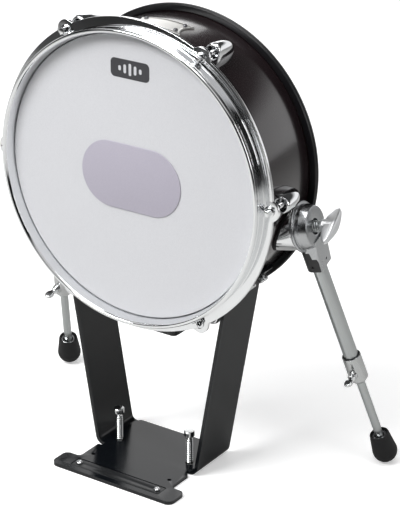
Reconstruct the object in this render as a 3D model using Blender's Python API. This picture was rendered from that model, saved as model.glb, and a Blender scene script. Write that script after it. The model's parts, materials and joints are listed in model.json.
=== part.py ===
"""Electronic bass drum pad: a 12 inch mesh-head drum held by a bent steel stand and two spurs.

Metres, +Z up. The origin is on the floor, at the middle of the stand's base plate, straight below the
plane of the tension rod heads. The drum's axis runs along Y: the mesh head faces -Y, the back is at +Y.
"""

import math

import bmesh
import bpy
from mathutils import Matrix, Vector

MM = 0.001
GAP = 0.3 * MM  # clearance between neighbouring pieces
RING_STEPS = 60  # facets round the drum
ROUND_STEPS = 16  # facets round a small turned piece

# Drum: radii from the drum's axis, depths along Y from the rod-head plane
AXIS_HEIGHT = 340 * MM
SHELL_RADIUS = 152.3 * MM
SHELL_WALL = 6 * MM
SHELL_FRONT = -1.8 * MM
SHELL_REAR = 101 * MM
REAR_HOOP_RADIUS = 160 * MM
REAR_HOOP_DEPTHS = (100.2 * MM, 107 * MM)
REAR_HOOP_LIP = 140 * MM  # inner radius of the lip that covers the shell's end
HEAD_SKIN = 0.5 * MM
HEAD_COLLAR = 7 * MM  # how far the mesh wraps back over the shell
HOOP_WALL_RADIUS = 159.5 * MM
HOOP_FRONT = -15.3 * MM
FLANGE_RADIUS = 170 * MM
FLANGE_DEPTHS = (1 * MM, 4.2 * MM)
EAR_RADIUS = 11 * MM
ROD_CIRCLE = 166 * MM
ROD_ANGLES = (0, 60, 120, 180, 240, 300)
ROD_RADIUS = 2.8 * MM
PATCH_SIZE = (125 * MM, 73 * MM)
PATCH_THICKNESS = 0.6 * MM

# Badge on top of the shell
BADGE_HALF_LENGTH = 33 * MM
BADGE_DEPTHS = (37.5 * MM, 65 * MM)
BADGE_THICKNESS = 1.2 * MM
BADGE_HOLLOW = 5 * MM  # how far the short ends are cut in
RIVET_X = 24 * MM
RIVET_DEPTHS = (43.5 * MM, 60.5 * MM)

# Lug casings, one behind each tension rod
LUG_FRONT = 22 * MM
LUG_LENGTH = 42 * MM
LUG_HALF_WIDTH = 11 * MM
LUG_HEIGHT = 23.5 * MM

# Stand: one bent sheet with two leaning arms, and a T-shaped foot
SHEET = 4 * MM
ARM_FOOT_X = 67 * MM  # outer face of an arm, at floor level
ARM_LEAN = math.atan(0.171)
ARM_DEPTHS = (20 * MM, 84 * MM)
TAB_ANGLE = math.radians(-45)  # where the arm's bent tab lies against the shell
TAB_LENGTH = 15 * MM  # past its bolts
BOLT_DEPTHS = (52 * MM, 76 * MM)
BOLT_HOLE = 3.4 * MM
BASE_REAR = 87 * MM
TONGUE_HALF_WIDTH = 61 * MM
TONGUE_REAR = 14 * MM
BAR_HALF_LENGTH = 80 * MM
BAR_DEPTHS = (-48 * MM, -20 * MM)
RECESS_HALF_LENGTH = 59 * MM
RECESS_DEPTHS = (-41 * MM, -24 * MM)
RECESS_FLOOR = 2.2 * MM
ANCHOR_PLACE = (47.5 * MM, 35.5 * MM)
ANCHOR_RADIUS = 4 * MM
ANCHOR_TOP = 44 * MM
ANCHOR_HEAD = 6 * MM
ANCHOR_PITCH = 3.6 * MM
VACANT_PLACE = (51 * MM, -8 * MM)  # empty tapped holes in the tongue
VACANT_RADIUS = 2.4 * MM
STRIP_SCREW_PLACE = (52 * MM, -32.5 * MM)
STRIP_SCREW_RADIUS = 1.4 * MM

# Spurs: the fold axis crosses the leg's centre line at the pivot. Depths along the fold axis are positive
# outward from the pivot, and reaches are distances down the leg from it.
PIVOT = Vector((164.0 * MM, 74.3 * MM, 298.95 * MM))
FOOT_CENTRE = Vector((218.9 * MM, 166.9 * MM, 14 * MM))
FOOT_RADIUS = 13.9 * MM
FOOT_RIM_RADIUS = 11 * MM
FOOT_RIM_RISE = 24 * MM  # rim above the middle of the foot's ball
FOOT_CUP = 3.5 * MM  # depth of the hollow round the rod
FOLD_TOE = math.radians(9)  # the fold axis is turned this far rearward
BOSS_RADIUS = 24.3 * MM
BOSS_ROOT = -40 * MM  # inside the shell, before the boss is cut to the shell's curve
BOSS_END = -3.6 * MM
GASKET = 2.3 * MM
DISC_FLANGE_RADIUS = 27.2 * MM
DISC_FACE_RADIUS = 21.4 * MM
DISC_FACE = 12 * MM
WELL_RADIUS = 8.5 * MM
WELL_FLOOR = 5.1 * MM
STUD_RADIUS = 3.5 * MM
STUD_ROOT = -12 * MM
HUB = 19.5 * MM
WING_TILT = 8  # degrees, front wing down
WING_SECTIONS = (  # mm from the hub's centre, half thickness, and the near and far edge along the fold axis
    (0, 6.4, 22, 36.2), (12.7, 4.3, 24, 35.2), (19.4, 3, 26.3, 34),
    (22.8, 2.3, 27.8, 33.2), (26, 1.2, 29.6, 31.8),
)
TUBE_RADIUS = 8 * MM
TUBE_WALL = 2.3 * MM
TUBE_REACH = (27 * MM, 196 * MM)
SOCKET_REACH = (12 * MM, 49.5 * MM)
SOCKET_DEPTHS = (-13 * MM, 12.5 * MM)
SOCKET_TOP = (13.1 * MM, 14.8 * MM)  # how far out the socket's front and rear edges lie at its top
SOCKET_BOTTOM = (8.5 * MM, 10 * MM)
POCKET = 2.6 * MM  # depth of the pocket that the bush fills
BUSH_WRAP = (-9.9 * MM, -3.6 * MM)
BUSH_WRAP_TOP = 25.2 * MM
BUSH_ROUND = 7.5 * MM
BUSH_OUTLINE = (  # mm along the fold axis and down the leg
    (-9.9, 25.7), (1.7, 25.7), (2.7, 33.7), (7.6, 33.1), (8.9, 36.5), (8.3, 49.5), (-9.9, 49.5),
)
COLLAR_RADIUS = 10.3 * MM
COLLAR_REACH = (170 * MM, 205.5 * MM)
COLLAR_TAPER = 4.7 * MM
ROD_REACH = (115 * MM, 299 * MM)
SPUR_ROD_RADIUS = 4.7 * MM
THUMB_REACH = 190 * MM
THUMB_HEAD = (15.5 * MM, 28.5 * MM)
THUMB_HALF_WIDTH = 4.5 * MM

# Sensor and electrics
CUSHION_RADIUS = 60 * MM
CUSHION_DEPTHS = (-1.9 * MM, 14 * MM)
PLATE_THICKNESS = 2 * MM
BRACKET_DEPTHS = (22 * MM, 26 * MM)
JACK_BOX_HALF_WIDTH = 32 * MM
JACK_BOX_DEPTHS = (30 * MM, 76 * MM)
JACK_BOX_FLOOR = 155 * MM
JACK_BOX_WALL = 2.5 * MM
JACK_RADIUS = 3.3 * MM
JACK_RISE = 14 * MM  # jack's axis above the box's floor
CABLE_RADIUS = 1.6 * MM

COLOURS = {
    "satin_black": ((0.022, 0.022, 0.024), 0.38, 0.0),
    "powder_black": ((0.030, 0.033, 0.037), 0.45, 0.0),
    "chrome": ((0.82, 0.83, 0.85), 0.08, 1.0),
    "satin_chrome": ((0.62, 0.64, 0.65), 0.28, 1.0),
    "aluminium": ((0.70, 0.71, 0.72), 0.35, 1.0),
    "brass": ((0.72, 0.53, 0.24), 0.30, 1.0),
    "mesh_fabric": ((0.72, 0.73, 0.76), 0.75, 0.0),
    "patch_fabric": ((0.52, 0.50, 0.57), 0.80, 0.0),
    "rubber": ((0.015, 0.015, 0.016), 0.70, 0.0),
    "foam": ((0.16, 0.16, 0.17), 0.95, 0.0),
    "black_plastic": ((0.025, 0.027, 0.029), 0.50, 0.0),
    "badge_steel": ((0.66, 0.66, 0.67), 0.25, 1.0),
}


def clear_scene():
    for obj in list(bpy.data.objects):
        bpy.data.objects.remove(obj, do_unlink=True)


def material(name):
    found = bpy.data.materials.get(name)
    if found:
        return found
    colour, roughness, metallic = COLOURS[name]
    made = bpy.data.materials.new(name)
    made.use_nodes = True
    shader = made.node_tree.nodes["Principled BSDF"]
    shader.inputs["Base Color"].default_value = (*colour, 1)
    shader.inputs["Roughness"].default_value = roughness
    shader.inputs["Metallic"].default_value = metallic
    return made


def add(name, mesh, finish, parent=None, matrix=None):
    """Adds a visible piece, with its matrix given in its parent's frame."""
    obj = bpy.data.objects.new(name, mesh)
    bpy.context.scene.collection.objects.link(obj)
    obj.parent = parent
    obj.matrix_local = matrix or Matrix.Identity(4)
    mesh.shade_smooth()
    mesh.set_sharp_from_angle(angle=math.radians(32))
    if not mesh.materials:
        mesh.materials.append(material(finish))
    return obj


def add_empty(name, matrix):
    empty = bpy.data.objects.new(name, None)
    bpy.context.scene.collection.objects.link(empty)
    empty.matrix_world = matrix
    empty.empty_display_size = 20 * MM
    return empty


def add_cutter(name, mesh, parent=None, matrix=None):
    cutter = bpy.data.objects.new(name, mesh)
    bpy.context.scene.collection.objects.link(cutter)
    cutter.parent = parent
    cutter.matrix_local = matrix or Matrix.Identity(4)
    cutter.hide_render = True
    cutter.display_type = "WIRE"
    return cutter


def add_boolean(obj, other, operation):
    modifier = obj.modifiers.new(f"{operation}_{other.name}", "BOOLEAN")
    modifier.object = other
    modifier.operation = operation
    modifier.solver = "EXACT"


def mesh_from(name, vertices, faces):
    mesh = bpy.data.meshes.new(name)
    bm = bmesh.new()
    made = [bm.verts.new(point) for point in vertices]
    for face in faces:
        bm.faces.new([made[i] for i in face])
    bmesh.ops.recalc_face_normals(bm, faces=bm.faces)
    bm.to_mesh(mesh)
    bm.free()
    return mesh


def joined(name, meshes):
    """One mesh holding several closed shapes."""
    bm = bmesh.new()
    for mesh, matrix in meshes:
        copy = mesh.copy()
        copy.transform(matrix)
        bm.from_mesh(copy)
        bpy.data.meshes.remove(copy)
    mesh = bpy.data.meshes.new(name)
    bm.to_mesh(mesh)
    bm.free()
    return mesh


def lathe(name, profile, steps, ring=False):
    """Turns (radius, height) points about Z. A ring's profile closes on itself, clear of the axis."""
    vertices = []
    rows = []
    for radius, height in profile:
        if radius == 0:
            rows.append([len(vertices)])
            vertices.append((0, 0, height))
            continue
        rows.append(list(range(len(vertices), len(vertices) + steps)))
        for i in range(steps):
            turn = 2 * math.pi * i / steps
            vertices.append((radius * math.cos(turn), radius * math.sin(turn), height))
    faces = []
    pairs = list(zip(rows, rows[1:]))
    if ring:
        pairs.append((rows[-1], rows[0]))
    for low, high in pairs:
        for i in range(steps):
            j = (i + 1) % steps
            corners = low[i % len(low)], low[j % len(low)], high[j % len(high)], high[i % len(high)]
            faces.append(list(dict.fromkeys(corners)))
    return mesh_from(name, vertices, faces)


def rod(name, radius, low, high, steps=ROUND_STEPS, chamfer=0.0):
    """A round bar along Z, from low to high."""
    if not chamfer:
        return lathe(name, [(0, low), (radius, low), (radius, high), (0, high)], steps)
    inner = radius - chamfer
    ends = [(0, low), (inner, low), (radius, low + chamfer), (radius, high - chamfer), (inner, high),
            (0, high)]
    return lathe(name, ends, steps)


def prism(name, outline, low, high):
    """Extrudes a closed outline in XY from one height to another."""
    count = len(outline)
    vertices = [(x, y, low) for x, y in outline] + [(x, y, high) for x, y in outline]
    faces = [list(range(count)), list(range(count, 2 * count))]
    faces += [[i, (i + 1) % count, (i + 1) % count + count, i + count] for i in range(count)]
    return mesh_from(name, vertices, faces)


def box(name, low, high):
    outline = [(low[0], low[1]), (high[0], low[1]), (high[0], high[1]), (low[0], high[1])]
    return prism(name, outline, low[2], high[2])


def filleted(points, radii, steps=4, closed=True):
    """Rounds each corner of an outline or a path by its own radius."""
    made = []
    count = len(points)
    for i, (point, radius) in enumerate(zip(points, radii)):
        if radius == 0 or (not closed and i in (0, count - 1)):
            made.append(Vector(point))
            continue
        corner = Vector(point)
        before = (Vector(points[i - 1]) - corner).normalized()
        after = (Vector(points[(i + 1) % count]) - corner).normalized()
        half = before.angle(after) / 2
        centre = corner + (before + after).normalized() * radius / math.sin(half)
        start = corner + before * radius / math.tan(half) - centre
        end = corner + after * radius / math.tan(half) - centre
        sweep = start.angle_signed(end)
        for step in range(steps + 1):
            turn = -sweep * step / steps
            made.append(centre + Matrix.Rotation(turn, 2) @ start)
    return made


def drum_matrix():
    """Local Z runs rearward along the drum's axis."""
    return Matrix.Translation((0, 0, AXIS_HEIGHT)) @ Matrix.Rotation(math.radians(-90), 4, "X")


def station(angle, radius, depth):
    """A place on the drum's side: local Z points outward and local Y rearward."""
    out = Vector((math.cos(angle), 0, math.sin(angle)))
    rear = Vector((0, 1, 0))
    turned = Matrix((rear.cross(out), rear, out)).transposed().to_4x4()
    return Matrix.Translation(Vector((0, depth, AXIS_HEIGHT)) + out * radius) @ turned


def rod_matrix(angle):
    """Local Z runs rearward along a tension rod, from the rod-head plane, and local X outward."""
    out = Vector((math.cos(angle), 0, math.sin(angle)))
    rear = Vector((0, 1, 0))
    turned = Matrix((out, rear.cross(out), rear)).transposed().to_4x4()
    return Matrix.Translation(Vector((0, 0, AXIS_HEIGHT)) + out * ROD_CIRCLE) @ turned


def side_name(side):
    return "right" if side > 0 else "left"


def build_shell():
    inner = SHELL_RADIUS - SHELL_WALL
    edge = 2 * MM
    profile = [(inner, SHELL_FRONT + edge), (SHELL_RADIUS - edge, SHELL_FRONT)]
    profile += [(SHELL_RADIUS, SHELL_FRONT + edge), (SHELL_RADIUS, SHELL_REAR), (inner, SHELL_REAR)]
    ring = lathe("shell", profile, RING_STEPS, ring=True)
    shell = add("shell", ring, "satin_black", matrix=drum_matrix())
    drill = rod("drill", BOLT_HOLE, -20 * MM, 10 * MM, 12)
    cable_drill = rod("cable_drill", 5 * MM, -20 * MM, 10 * MM, 12)
    holes = [(cable_drill, station(math.radians(-90), SHELL_RADIUS, 50 * MM))]
    for angle in (TAB_ANGLE, math.pi - TAB_ANGLE):
        for depth in BOLT_DEPTHS:
            holes.append((drill, station(angle, SHELL_RADIUS, depth)))
    add_boolean(shell, add_cutter("cutter_shell_holes", joined("shell_holes", holes)), "DIFFERENCE")


def build_back():
    front, rear = REAR_HOOP_DEPTHS
    seat = SHELL_RADIUS + GAP
    edge = 1.5 * MM
    outer = REAR_HOOP_RADIUS
    profile = [(seat, SHELL_REAR + GAP), (seat, front), (outer - edge, front), (outer, front + edge)]
    profile += [(outer, rear - edge), (outer - edge, rear), (REAR_HOOP_LIP, rear)]
    profile += [(REAR_HOOP_LIP, SHELL_REAR + GAP)]
    ring = lathe("rear_hoop", profile, RING_STEPS, ring=True)
    add("rear_hoop", ring, "black_plastic", matrix=drum_matrix())
    panel = rod("rear_panel", REAR_HOOP_LIP - GAP, rear - 4 * MM, rear - 1.5 * MM, RING_STEPS)
    add("rear_panel", panel, "black_plastic", matrix=drum_matrix())


def build_batter_hoop():
    wall = HOOP_WALL_RADIUS
    seat = SHELL_RADIUS + 2 * GAP + HEAD_SKIN + GAP
    flange_front, flange_rear = FLANGE_DEPTHS
    head_press = 0.7 * MM  # plane that presses on the flesh hoop
    profile = [(seat, head_press), (seat + 0.3 * MM, -4 * MM), (156.4 * MM, HOOP_FRONT + 1.2 * MM),
               (157.6 * MM, HOOP_FRONT), (159.8 * MM, HOOP_FRONT), (161 * MM, HOOP_FRONT + 1.2 * MM),
               (161 * MM, HOOP_FRONT + 3 * MM), (wall, HOOP_FRONT + 4.5 * MM), (wall, flange_front),
               (FLANGE_RADIUS, flange_front), (FLANGE_RADIUS, flange_rear), (wall - 1.6 * MM, flange_rear),
               (wall - 1.6 * MM, head_press)]
    ring = lathe("batter_hoop", profile, RING_STEPS, ring=True)
    hoop = add("batter_hoop", ring, "chrome", matrix=drum_matrix())
    ear_root = -4 * MM
    outline = [(ear_root, EAR_RADIUS), (ear_root, -EAR_RADIUS)]
    for step in range(11):
        turn = math.pi * (step / 10 - 0.5)
        outline.append((EAR_RADIUS * math.cos(turn), EAR_RADIUS * math.sin(turn)))
    ear = prism("ear", outline, flange_front - 0.2 * MM, flange_rear + 0.2 * MM)
    hole = rod("hole", ROD_RADIUS + 0.6 * MM, -10 * MM, 10 * MM, 12)
    places = [rod_matrix(math.radians(angle)) for angle in ROD_ANGLES]
    ears = joined("hoop_ears", [(ear, place) for place in places])
    holes = joined("rod_holes", [(hole, place) for place in places])
    add_boolean(hoop, add_cutter("adder_hoop_ears", ears), "UNION")
    add_boolean(hoop, add_cutter("cutter_rod_holes", holes), "DIFFERENCE")


def build_head():
    inner = SHELL_RADIUS + 1.4 * GAP
    outer = inner + HEAD_SKIN
    face = SHELL_FRONT - GAP
    profile = [(0, face - HEAD_SKIN), (outer - 1 * MM, face - HEAD_SKIN), (outer, face + 0.5 * MM),
               (outer, HEAD_COLLAR), (inner, HEAD_COLLAR), (inner, face + 0.8 * MM),
               (inner - 1.2 * MM, face), (0, face)]
    add("mesh_head", lathe("mesh_head", profile, RING_STEPS), "mesh_fabric", matrix=drum_matrix())
    low = outer + GAP
    high = HOOP_WALL_RADIUS - 1.6 * MM - GAP
    ring = [(low, 1 * MM), (low, 9 * MM), (high, 9 * MM), (high, 1 * MM)]
    flesh_hoop = lathe("head_flesh_hoop", ring, RING_STEPS, ring=True)
    add("head_flesh_hoop", flesh_hoop, "aluminium", matrix=drum_matrix())
    half_length = PATCH_SIZE[0] / 2
    half_height = PATCH_SIZE[1] / 2
    corners = [(-half_length, -half_height), (half_length, -half_height), (half_length, half_height),
               (-half_length, half_height)]
    outline = filleted(corners, [half_height * 0.999] * 4, steps=8)
    low = face - HEAD_SKIN - GAP - PATCH_THICKNESS
    add("impact_patch", prism("impact_patch", outline, low, low + PATCH_THICKNESS), "patch_fabric",
        matrix=drum_matrix())


def lug_mesh():
    """A bullet-shaped casing: an arch that tapers rearward, bored for its tension rod."""
    arch_steps = 8
    stations = 6
    vertices = []
    for i in range(stations + 1):
        along = i / stations
        taper = math.sqrt(1 - (0.93 * along) ** 2.6)
        for k in range(arch_steps + 1):
            turn = math.pi * k / arch_steps
            x = LUG_HALF_WIDTH * taper * math.cos(turn)
            z = LUG_HEIGHT * taper * math.sin(turn) ** 0.8
            vertices.append((x, along * LUG_LENGTH, z))
    row = arch_steps + 1
    faces = [list(range(row)), list(range(stations * row, (stations + 1) * row))]
    for i in range(stations):
        for k in range(row):
            m = (k + 1) % row
            faces.append([i * row + k, i * row + m, (i + 1) * row + m, (i + 1) * row + k])
    lug = bpy.data.objects.new("lug_blank", mesh_from("lug_blank", vertices, faces))
    bpy.context.scene.collection.objects.link(lug)
    mouth = 6.8 * MM
    bore = ROD_RADIUS + 0.4 * MM
    depth = 26 * MM
    profile = [(0, -5 * MM), (mouth, -5 * MM), (mouth, 10 * MM), (bore, 12 * MM), (bore, depth), (0, depth)]
    height = ROD_CIRCLE - SHELL_RADIUS - 1.5 * GAP
    turned = Matrix.Translation((0, 0, height)) @ Matrix.Rotation(math.radians(-90), 4, "X")
    cutter = add_cutter("lug_bore", lathe("lug_bore", profile, 12), matrix=turned)
    add_boolean(lug, cutter, "DIFFERENCE")
    graph = bpy.context.evaluated_depsgraph_get()
    mesh = bpy.data.meshes.new_from_object(lug.evaluated_get(graph))
    mesh.name = "lug"
    bpy.data.objects.remove(lug)
    bpy.data.objects.remove(cutter)
    return mesh


def tension_rod_mesh():
    """Square key head, washer and threaded shaft along Z, in one turned and squared body."""
    half = 3.1 * MM
    head = box("head", (-half, -half, -7 * MM), (half, half, -0.4 * MM))
    washer = 5.8 * MM
    washer_top = FLANGE_DEPTHS[0] - 0.2 * MM - GAP
    profile = [(0, -1 * MM), (washer - 1 * MM, -1 * MM), (washer, 0), (washer, washer_top),
               (ROD_RADIUS, washer_top), (ROD_RADIUS, 46 * MM), (0, 46 * MM)]
    body = bpy.data.objects.new("rod_blank", lathe("rod_blank", profile, 12))
    bpy.context.scene.collection.objects.link(body)
    adder = add_cutter("rod_head", head)
    add_boolean(body, adder, "UNION")
    graph = bpy.context.evaluated_depsgraph_get()
    mesh = bpy.data.meshes.new_from_object(body.evaluated_get(graph))
    mesh.name = "tension_rod"
    bpy.data.objects.remove(body)
    bpy.data.objects.remove(adder)
    return mesh


def build_lugs_and_rods():
    lug = lug_mesh()
    tension_rod = tension_rod_mesh()
    for number, degrees in enumerate(ROD_ANGLES, 1):
        angle = math.radians(degrees)
        add(f"lug_{number}", lug, "chrome", matrix=station(angle, SHELL_RADIUS + 1.5 * GAP, LUG_FRONT))
        add(f"tension_rod_{number}", tension_rod, "chrome", matrix=rod_matrix(angle))


def build_badge():
    """A thin plate bent to the shell's top, with hollowed short ends and four rivets."""
    half_length, depths = BADGE_HALF_LENGTH, BADGE_DEPTHS
    steps = 8
    low = SHELL_RADIUS + GAP
    high = low + BADGE_THICKNESS
    vertices = []
    for i in range(steps + 1):
        across = i / steps
        depth = depths[0] + (depths[1] - depths[0]) * across
        reach = half_length - BADGE_HOLLOW * math.sin(math.pi * across)
        for k in range(steps + 1):
            angle = math.pi / 2 - (2 * k / steps - 1) * reach / SHELL_RADIUS
            for radius in (low, high):
                vertices.append((radius * math.cos(angle), depth, AXIS_HEIGHT + radius * math.sin(angle)))
    row = 2 * (steps + 1)
    faces = []
    for i in range(steps):
        for k in range(steps):
            a = i * row + 2 * k
            faces.append([a, a + 2, a + row + 2, a + row])
            faces.append([a + 1, a + 3, a + row + 3, a + row + 1])
        for a in (i * row, i * row + 2 * steps):
            faces.append([a, a + 1, a + row + 1, a + row])
    for k in range(steps):
        for a in (2 * k, steps * row + 2 * k):
            faces.append([a, a + 2, a + 3, a + 1])
    badge = add("badge_plate", mesh_from("badge_plate", vertices, faces), "badge_steel")
    dome = [(0, 0.4 * MM), (2.2 * MM, 0.4 * MM), (2.2 * MM, 2 * MM), (1.2 * MM, 2.8 * MM), (0, 3 * MM)]
    rivet = lathe("rivet", dome, 8)
    rivets = []
    for side in (-1, 1):
        angle = math.pi / 2 - side * RIVET_X / SHELL_RADIUS
        for depth in RIVET_DEPTHS:
            rivets.append((rivet, station(angle, low, depth)))
    add_boolean(badge, add_cutter("adder_badge_rivets", joined("badge_rivets", rivets)), "UNION")


def arm_path():
    """Centre line of the right half of the bent sheet, from the middle of the base to the end of its tab."""
    half = SHEET / 2
    lean = Vector((math.sin(ARM_LEAN), math.cos(ARM_LEAN)))
    normal = Vector((math.cos(ARM_LEAN), -math.sin(ARM_LEAN)))
    arm_offset = ARM_FOOT_X * math.cos(ARM_LEAN) - half
    foot = Vector(((arm_offset + half * math.sin(ARM_LEAN)) / math.cos(ARM_LEAN), half))
    out = Vector((math.cos(TAB_ANGLE), math.sin(TAB_ANGLE)))
    along = Vector((-math.sin(TAB_ANGLE), math.cos(TAB_ANGLE)))
    tab_middle = Vector((0, AXIS_HEIGHT)) + out * (SHELL_RADIUS + GAP + half)
    reach = (arm_offset - tab_middle.dot(normal)) / along.dot(normal)
    corner = tab_middle + along * reach
    end = tab_middle + along * TAB_LENGTH
    assert (corner - foot).dot(lean) > 0
    return filleted([(0, half), foot, corner, end], [0, 9 * MM, 7 * MM, 0], closed=False)


def sheet_mesh(path, thickness, depths):
    """A bent sheet whose centre line is a path in XZ, extruded in Y."""
    vertices = []
    for i, point in enumerate(path):
        before = (point - path[i - 1]).normalized() if i else None
        after = (path[i + 1] - point).normalized() if i < len(path) - 1 else None
        if before is None or after is None:
            direction = before or after
            widen = 1
        else:
            direction = (before + after).normalized()
            widen = 1 / direction.dot(after)
        normal = Vector((-direction.y, direction.x)) * thickness / 2 * widen
        for depth in depths:
            for corner in (point + normal, point - normal):
                vertices.append((corner.x, depth, corner.y))
    faces = [[0, 1, 3, 2], [len(vertices) - 4 + k for k in (0, 1, 3, 2)]]
    for i in range(len(path) - 1):
        a = 4 * i
        for k, m in ((0, 1), (1, 3), (3, 2), (2, 0)):
            faces.append([a + k, a + m, a + m + 4, a + k + 4])
    return mesh_from("sheet", vertices, faces)


def foot_outline():
    """The T-shaped floor plate: narrow between the arms, a tongue, then a wide rounded bar."""
    neck = TONGUE_HALF_WIDTH - 5 * MM
    right = [(neck, BASE_REAR), (neck, TONGUE_REAR), (TONGUE_HALF_WIDTH, TONGUE_REAR),
             (TONGUE_HALF_WIDTH, BAR_DEPTHS[1]), (BAR_HALF_LENGTH, BAR_DEPTHS[1]),
             (BAR_HALF_LENGTH, BAR_DEPTHS[0])]
    radii = [3 * MM, 1 * MM, 2 * MM, 5 * MM, 7 * MM, 8 * MM]
    left = [(-x, y) for x, y in reversed(right)]
    return filleted(right + left, radii + radii[::-1])


def build_stand():
    right = arm_path()
    path = [Vector((-p.x, p.y)) for p in reversed(right[1:])] + right[1:]
    frame = add("stand_frame", sheet_mesh(path, SHEET, ARM_DEPTHS), "powder_black")
    plate = prism("foot_plate", foot_outline(), 0, SHEET)
    add_boolean(frame, add_cutter("adder_foot_plate", plate), "UNION")
    recess = box("recess", (-RECESS_HALF_LENGTH, RECESS_DEPTHS[0], RECESS_FLOOR),
                 (RECESS_HALF_LENGTH, RECESS_DEPTHS[1], 2 * SHEET))
    add_boolean(frame, add_cutter("cutter_recess", recess), "DIFFERENCE")
    holes = []
    for side in (-1, 1):
        for name, radius, (x, y) in (("anchor_hole", ANCHOR_RADIUS + 0.4 * MM, ANCHOR_PLACE),
                                     ("vacant_hole", VACANT_RADIUS, VACANT_PLACE),
                                     ("screw_hole", STRIP_SCREW_RADIUS + 0.4 * MM, STRIP_SCREW_PLACE)):
            place = Matrix.Translation((side * x, y, 0))
            holes.append((rod(name, radius, -SHEET, 2 * SHEET), place))
    angles = (TAB_ANGLE, math.pi - TAB_ANGLE)
    for angle in angles:
        for depth in BOLT_DEPTHS:
            drill = rod("tab_hole", BOLT_HOLE, -2 * MM, 12 * MM, 12)
            holes.append((drill, station(angle, SHELL_RADIUS, depth)))
    add_boolean(frame, add_cutter("cutter_frame_holes", joined("frame_holes", holes)), "DIFFERENCE")
    build_pedal_plate()
    for angle, side in zip(angles, ("right", "left")):
        for place, depth in zip(("front", "rear"), BOLT_DEPTHS):
            name = f"frame_bolt_{side}_{place}"
            add(name, frame_bolt_mesh(), "chrome", matrix=station(angle, SHELL_RADIUS, depth))


def frame_bolt_mesh():
    """A cap screw along Z: it passes through the tab and the shell, and has a dished socket in its head."""
    seat = SHEET + 2 * GAP
    top = seat + 6.2 * MM
    head = 5.6 * MM
    profile = [(0, -11 * MM), (3 * MM, -11 * MM), (3 * MM, seat), (head, seat), (head, top - 1 * MM),
               (head - 1 * MM, top), (3 * MM, top), (2.4 * MM, top - 2.5 * MM), (0, top - 2.5 * MM)]
    return lathe("frame_bolt", profile, 16)


def build_pedal_plate():
    edge = 2 * GAP
    low = (-RECESS_HALF_LENGTH + edge, RECESS_DEPTHS[0] + edge, RECESS_FLOOR + GAP)
    high = (RECESS_HALF_LENGTH - edge, RECESS_DEPTHS[1] - edge, SHEET - 0.4 * MM)
    plate = add("pedal_plate", box("pedal_plate", low, high), "powder_black")
    top = high[2] + GAP
    shaft, head = STRIP_SCREW_RADIUS, 3.6 * MM
    profile = [(0, 0.4 * MM), (shaft, 0.4 * MM), (shaft, top), (head, top),
               (head - 0.4 * MM, top + 1.8 * MM), (0, top + 2.2 * MM)]
    holes = []
    for side in (-1, 1):
        place = Matrix.Translation((side * STRIP_SCREW_PLACE[0], STRIP_SCREW_PLACE[1], 0))
        holes.append((rod("hole", shaft + 0.4 * MM, 0, 2 * SHEET, 12), place))
        screw = lathe("plate_screw", profile, 16)
        add(f"pedal_plate_screw_{side_name(side)}", screw, "chrome", matrix=place)
    add_boolean(plate, add_cutter("cutter_pedal_plate", joined("pedal_holes", holes)), "DIFFERENCE")


def build_anchor_bolts():
    """Thread crests are rings, which is how a thread reads at this size."""
    root = ANCHOR_RADIUS - 0.8 * MM
    shaft_top = ANCHOR_TOP - ANCHOR_HEAD
    head = 5.6 * MM
    profile = [(0, 0.6 * MM), (1.2 * MM, 0.6 * MM), (root, 4 * MM)]
    height = 4.6 * MM
    while height + ANCHOR_PITCH < shaft_top:
        profile += [(root, height), (ANCHOR_RADIUS, height + ANCHOR_PITCH / 2)]
        height += ANCHOR_PITCH
    profile += [(root, height), (root, shaft_top), (head, shaft_top), (head, ANCHOR_TOP - 1.2 * MM),
                (head - 1.2 * MM, ANCHOR_TOP), (0, ANCHOR_TOP)]
    mesh = lathe("anchor_bolt", profile, 12)
    for side in (-1, 1):
        place = Matrix.Translation((side * ANCHOR_PLACE[0], ANCHOR_PLACE[1], 0))
        add(f"anchor_bolt_{side_name(side)}", mesh, "satin_chrome", matrix=place)


def spur_matrix(side):
    """Local Z runs up the leg and local X along the fold axis, which points outward on the right spur."""
    pivot = Vector((side * PIVOT.x, PIVOT.y, PIVOT.z))
    foot = Vector((side * FOOT_CENTRE.x, FOOT_CENTRE.y, FOOT_CENTRE.z))
    up = (pivot - foot).normalized()
    toed = Vector((math.cos(FOLD_TOE), side * math.sin(FOLD_TOE), 0))
    across = (toed - up * toed.dot(up)).normalized()
    turned = Matrix((across, up.cross(across), up)).transposed().to_4x4()
    return Matrix.Translation(pivot) @ turned


def along_x(side, reach=0.0):
    """Turns a lathed piece so that its Z points outward along the fold axis, at a distance down the leg."""
    return Matrix.Translation((0, 0, -reach)) @ Matrix.Rotation(math.radians(90 * side), 4, "Y")


def build_spur_mount(side, pivot):
    """The boss bolted to the shell, with the gasket under it: both end on the shell's curve."""
    name = side_name(side)
    bore = STUD_RADIUS + 0.5 * MM
    cutters = {}
    for label, radius in (("shell", SHELL_RADIUS + GAP), ("gasket", SHELL_RADIUS + GAP + GASKET),
                          ("boss", SHELL_RADIUS + GASKET + 2 * GAP)):
        disc = rod(label, radius, -20 * MM, 140 * MM, RING_STEPS)
        cutters[label] = add_cutter(f"cutter_{label}_{name}", disc, matrix=drum_matrix())
    sleeve = [(bore, BOSS_ROOT), (BOSS_RADIUS, BOSS_ROOT), (BOSS_RADIUS, BOSS_END), (bore, BOSS_END)]
    pad = lathe("gasket", sleeve, 28, ring=True)
    gasket = add(f"spur_gasket_{name}", pad, "rubber", pivot, along_x(side))
    add_boolean(gasket, cutters["gasket"], "INTERSECT")
    add_boolean(gasket, cutters["shell"], "DIFFERENCE")
    boss = add(f"spur_boss_{name}", lathe("boss", sleeve, 28, ring=True), "chrome", pivot, along_x(side))
    add_boolean(boss, cutters["boss"], "DIFFERENCE")


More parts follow.
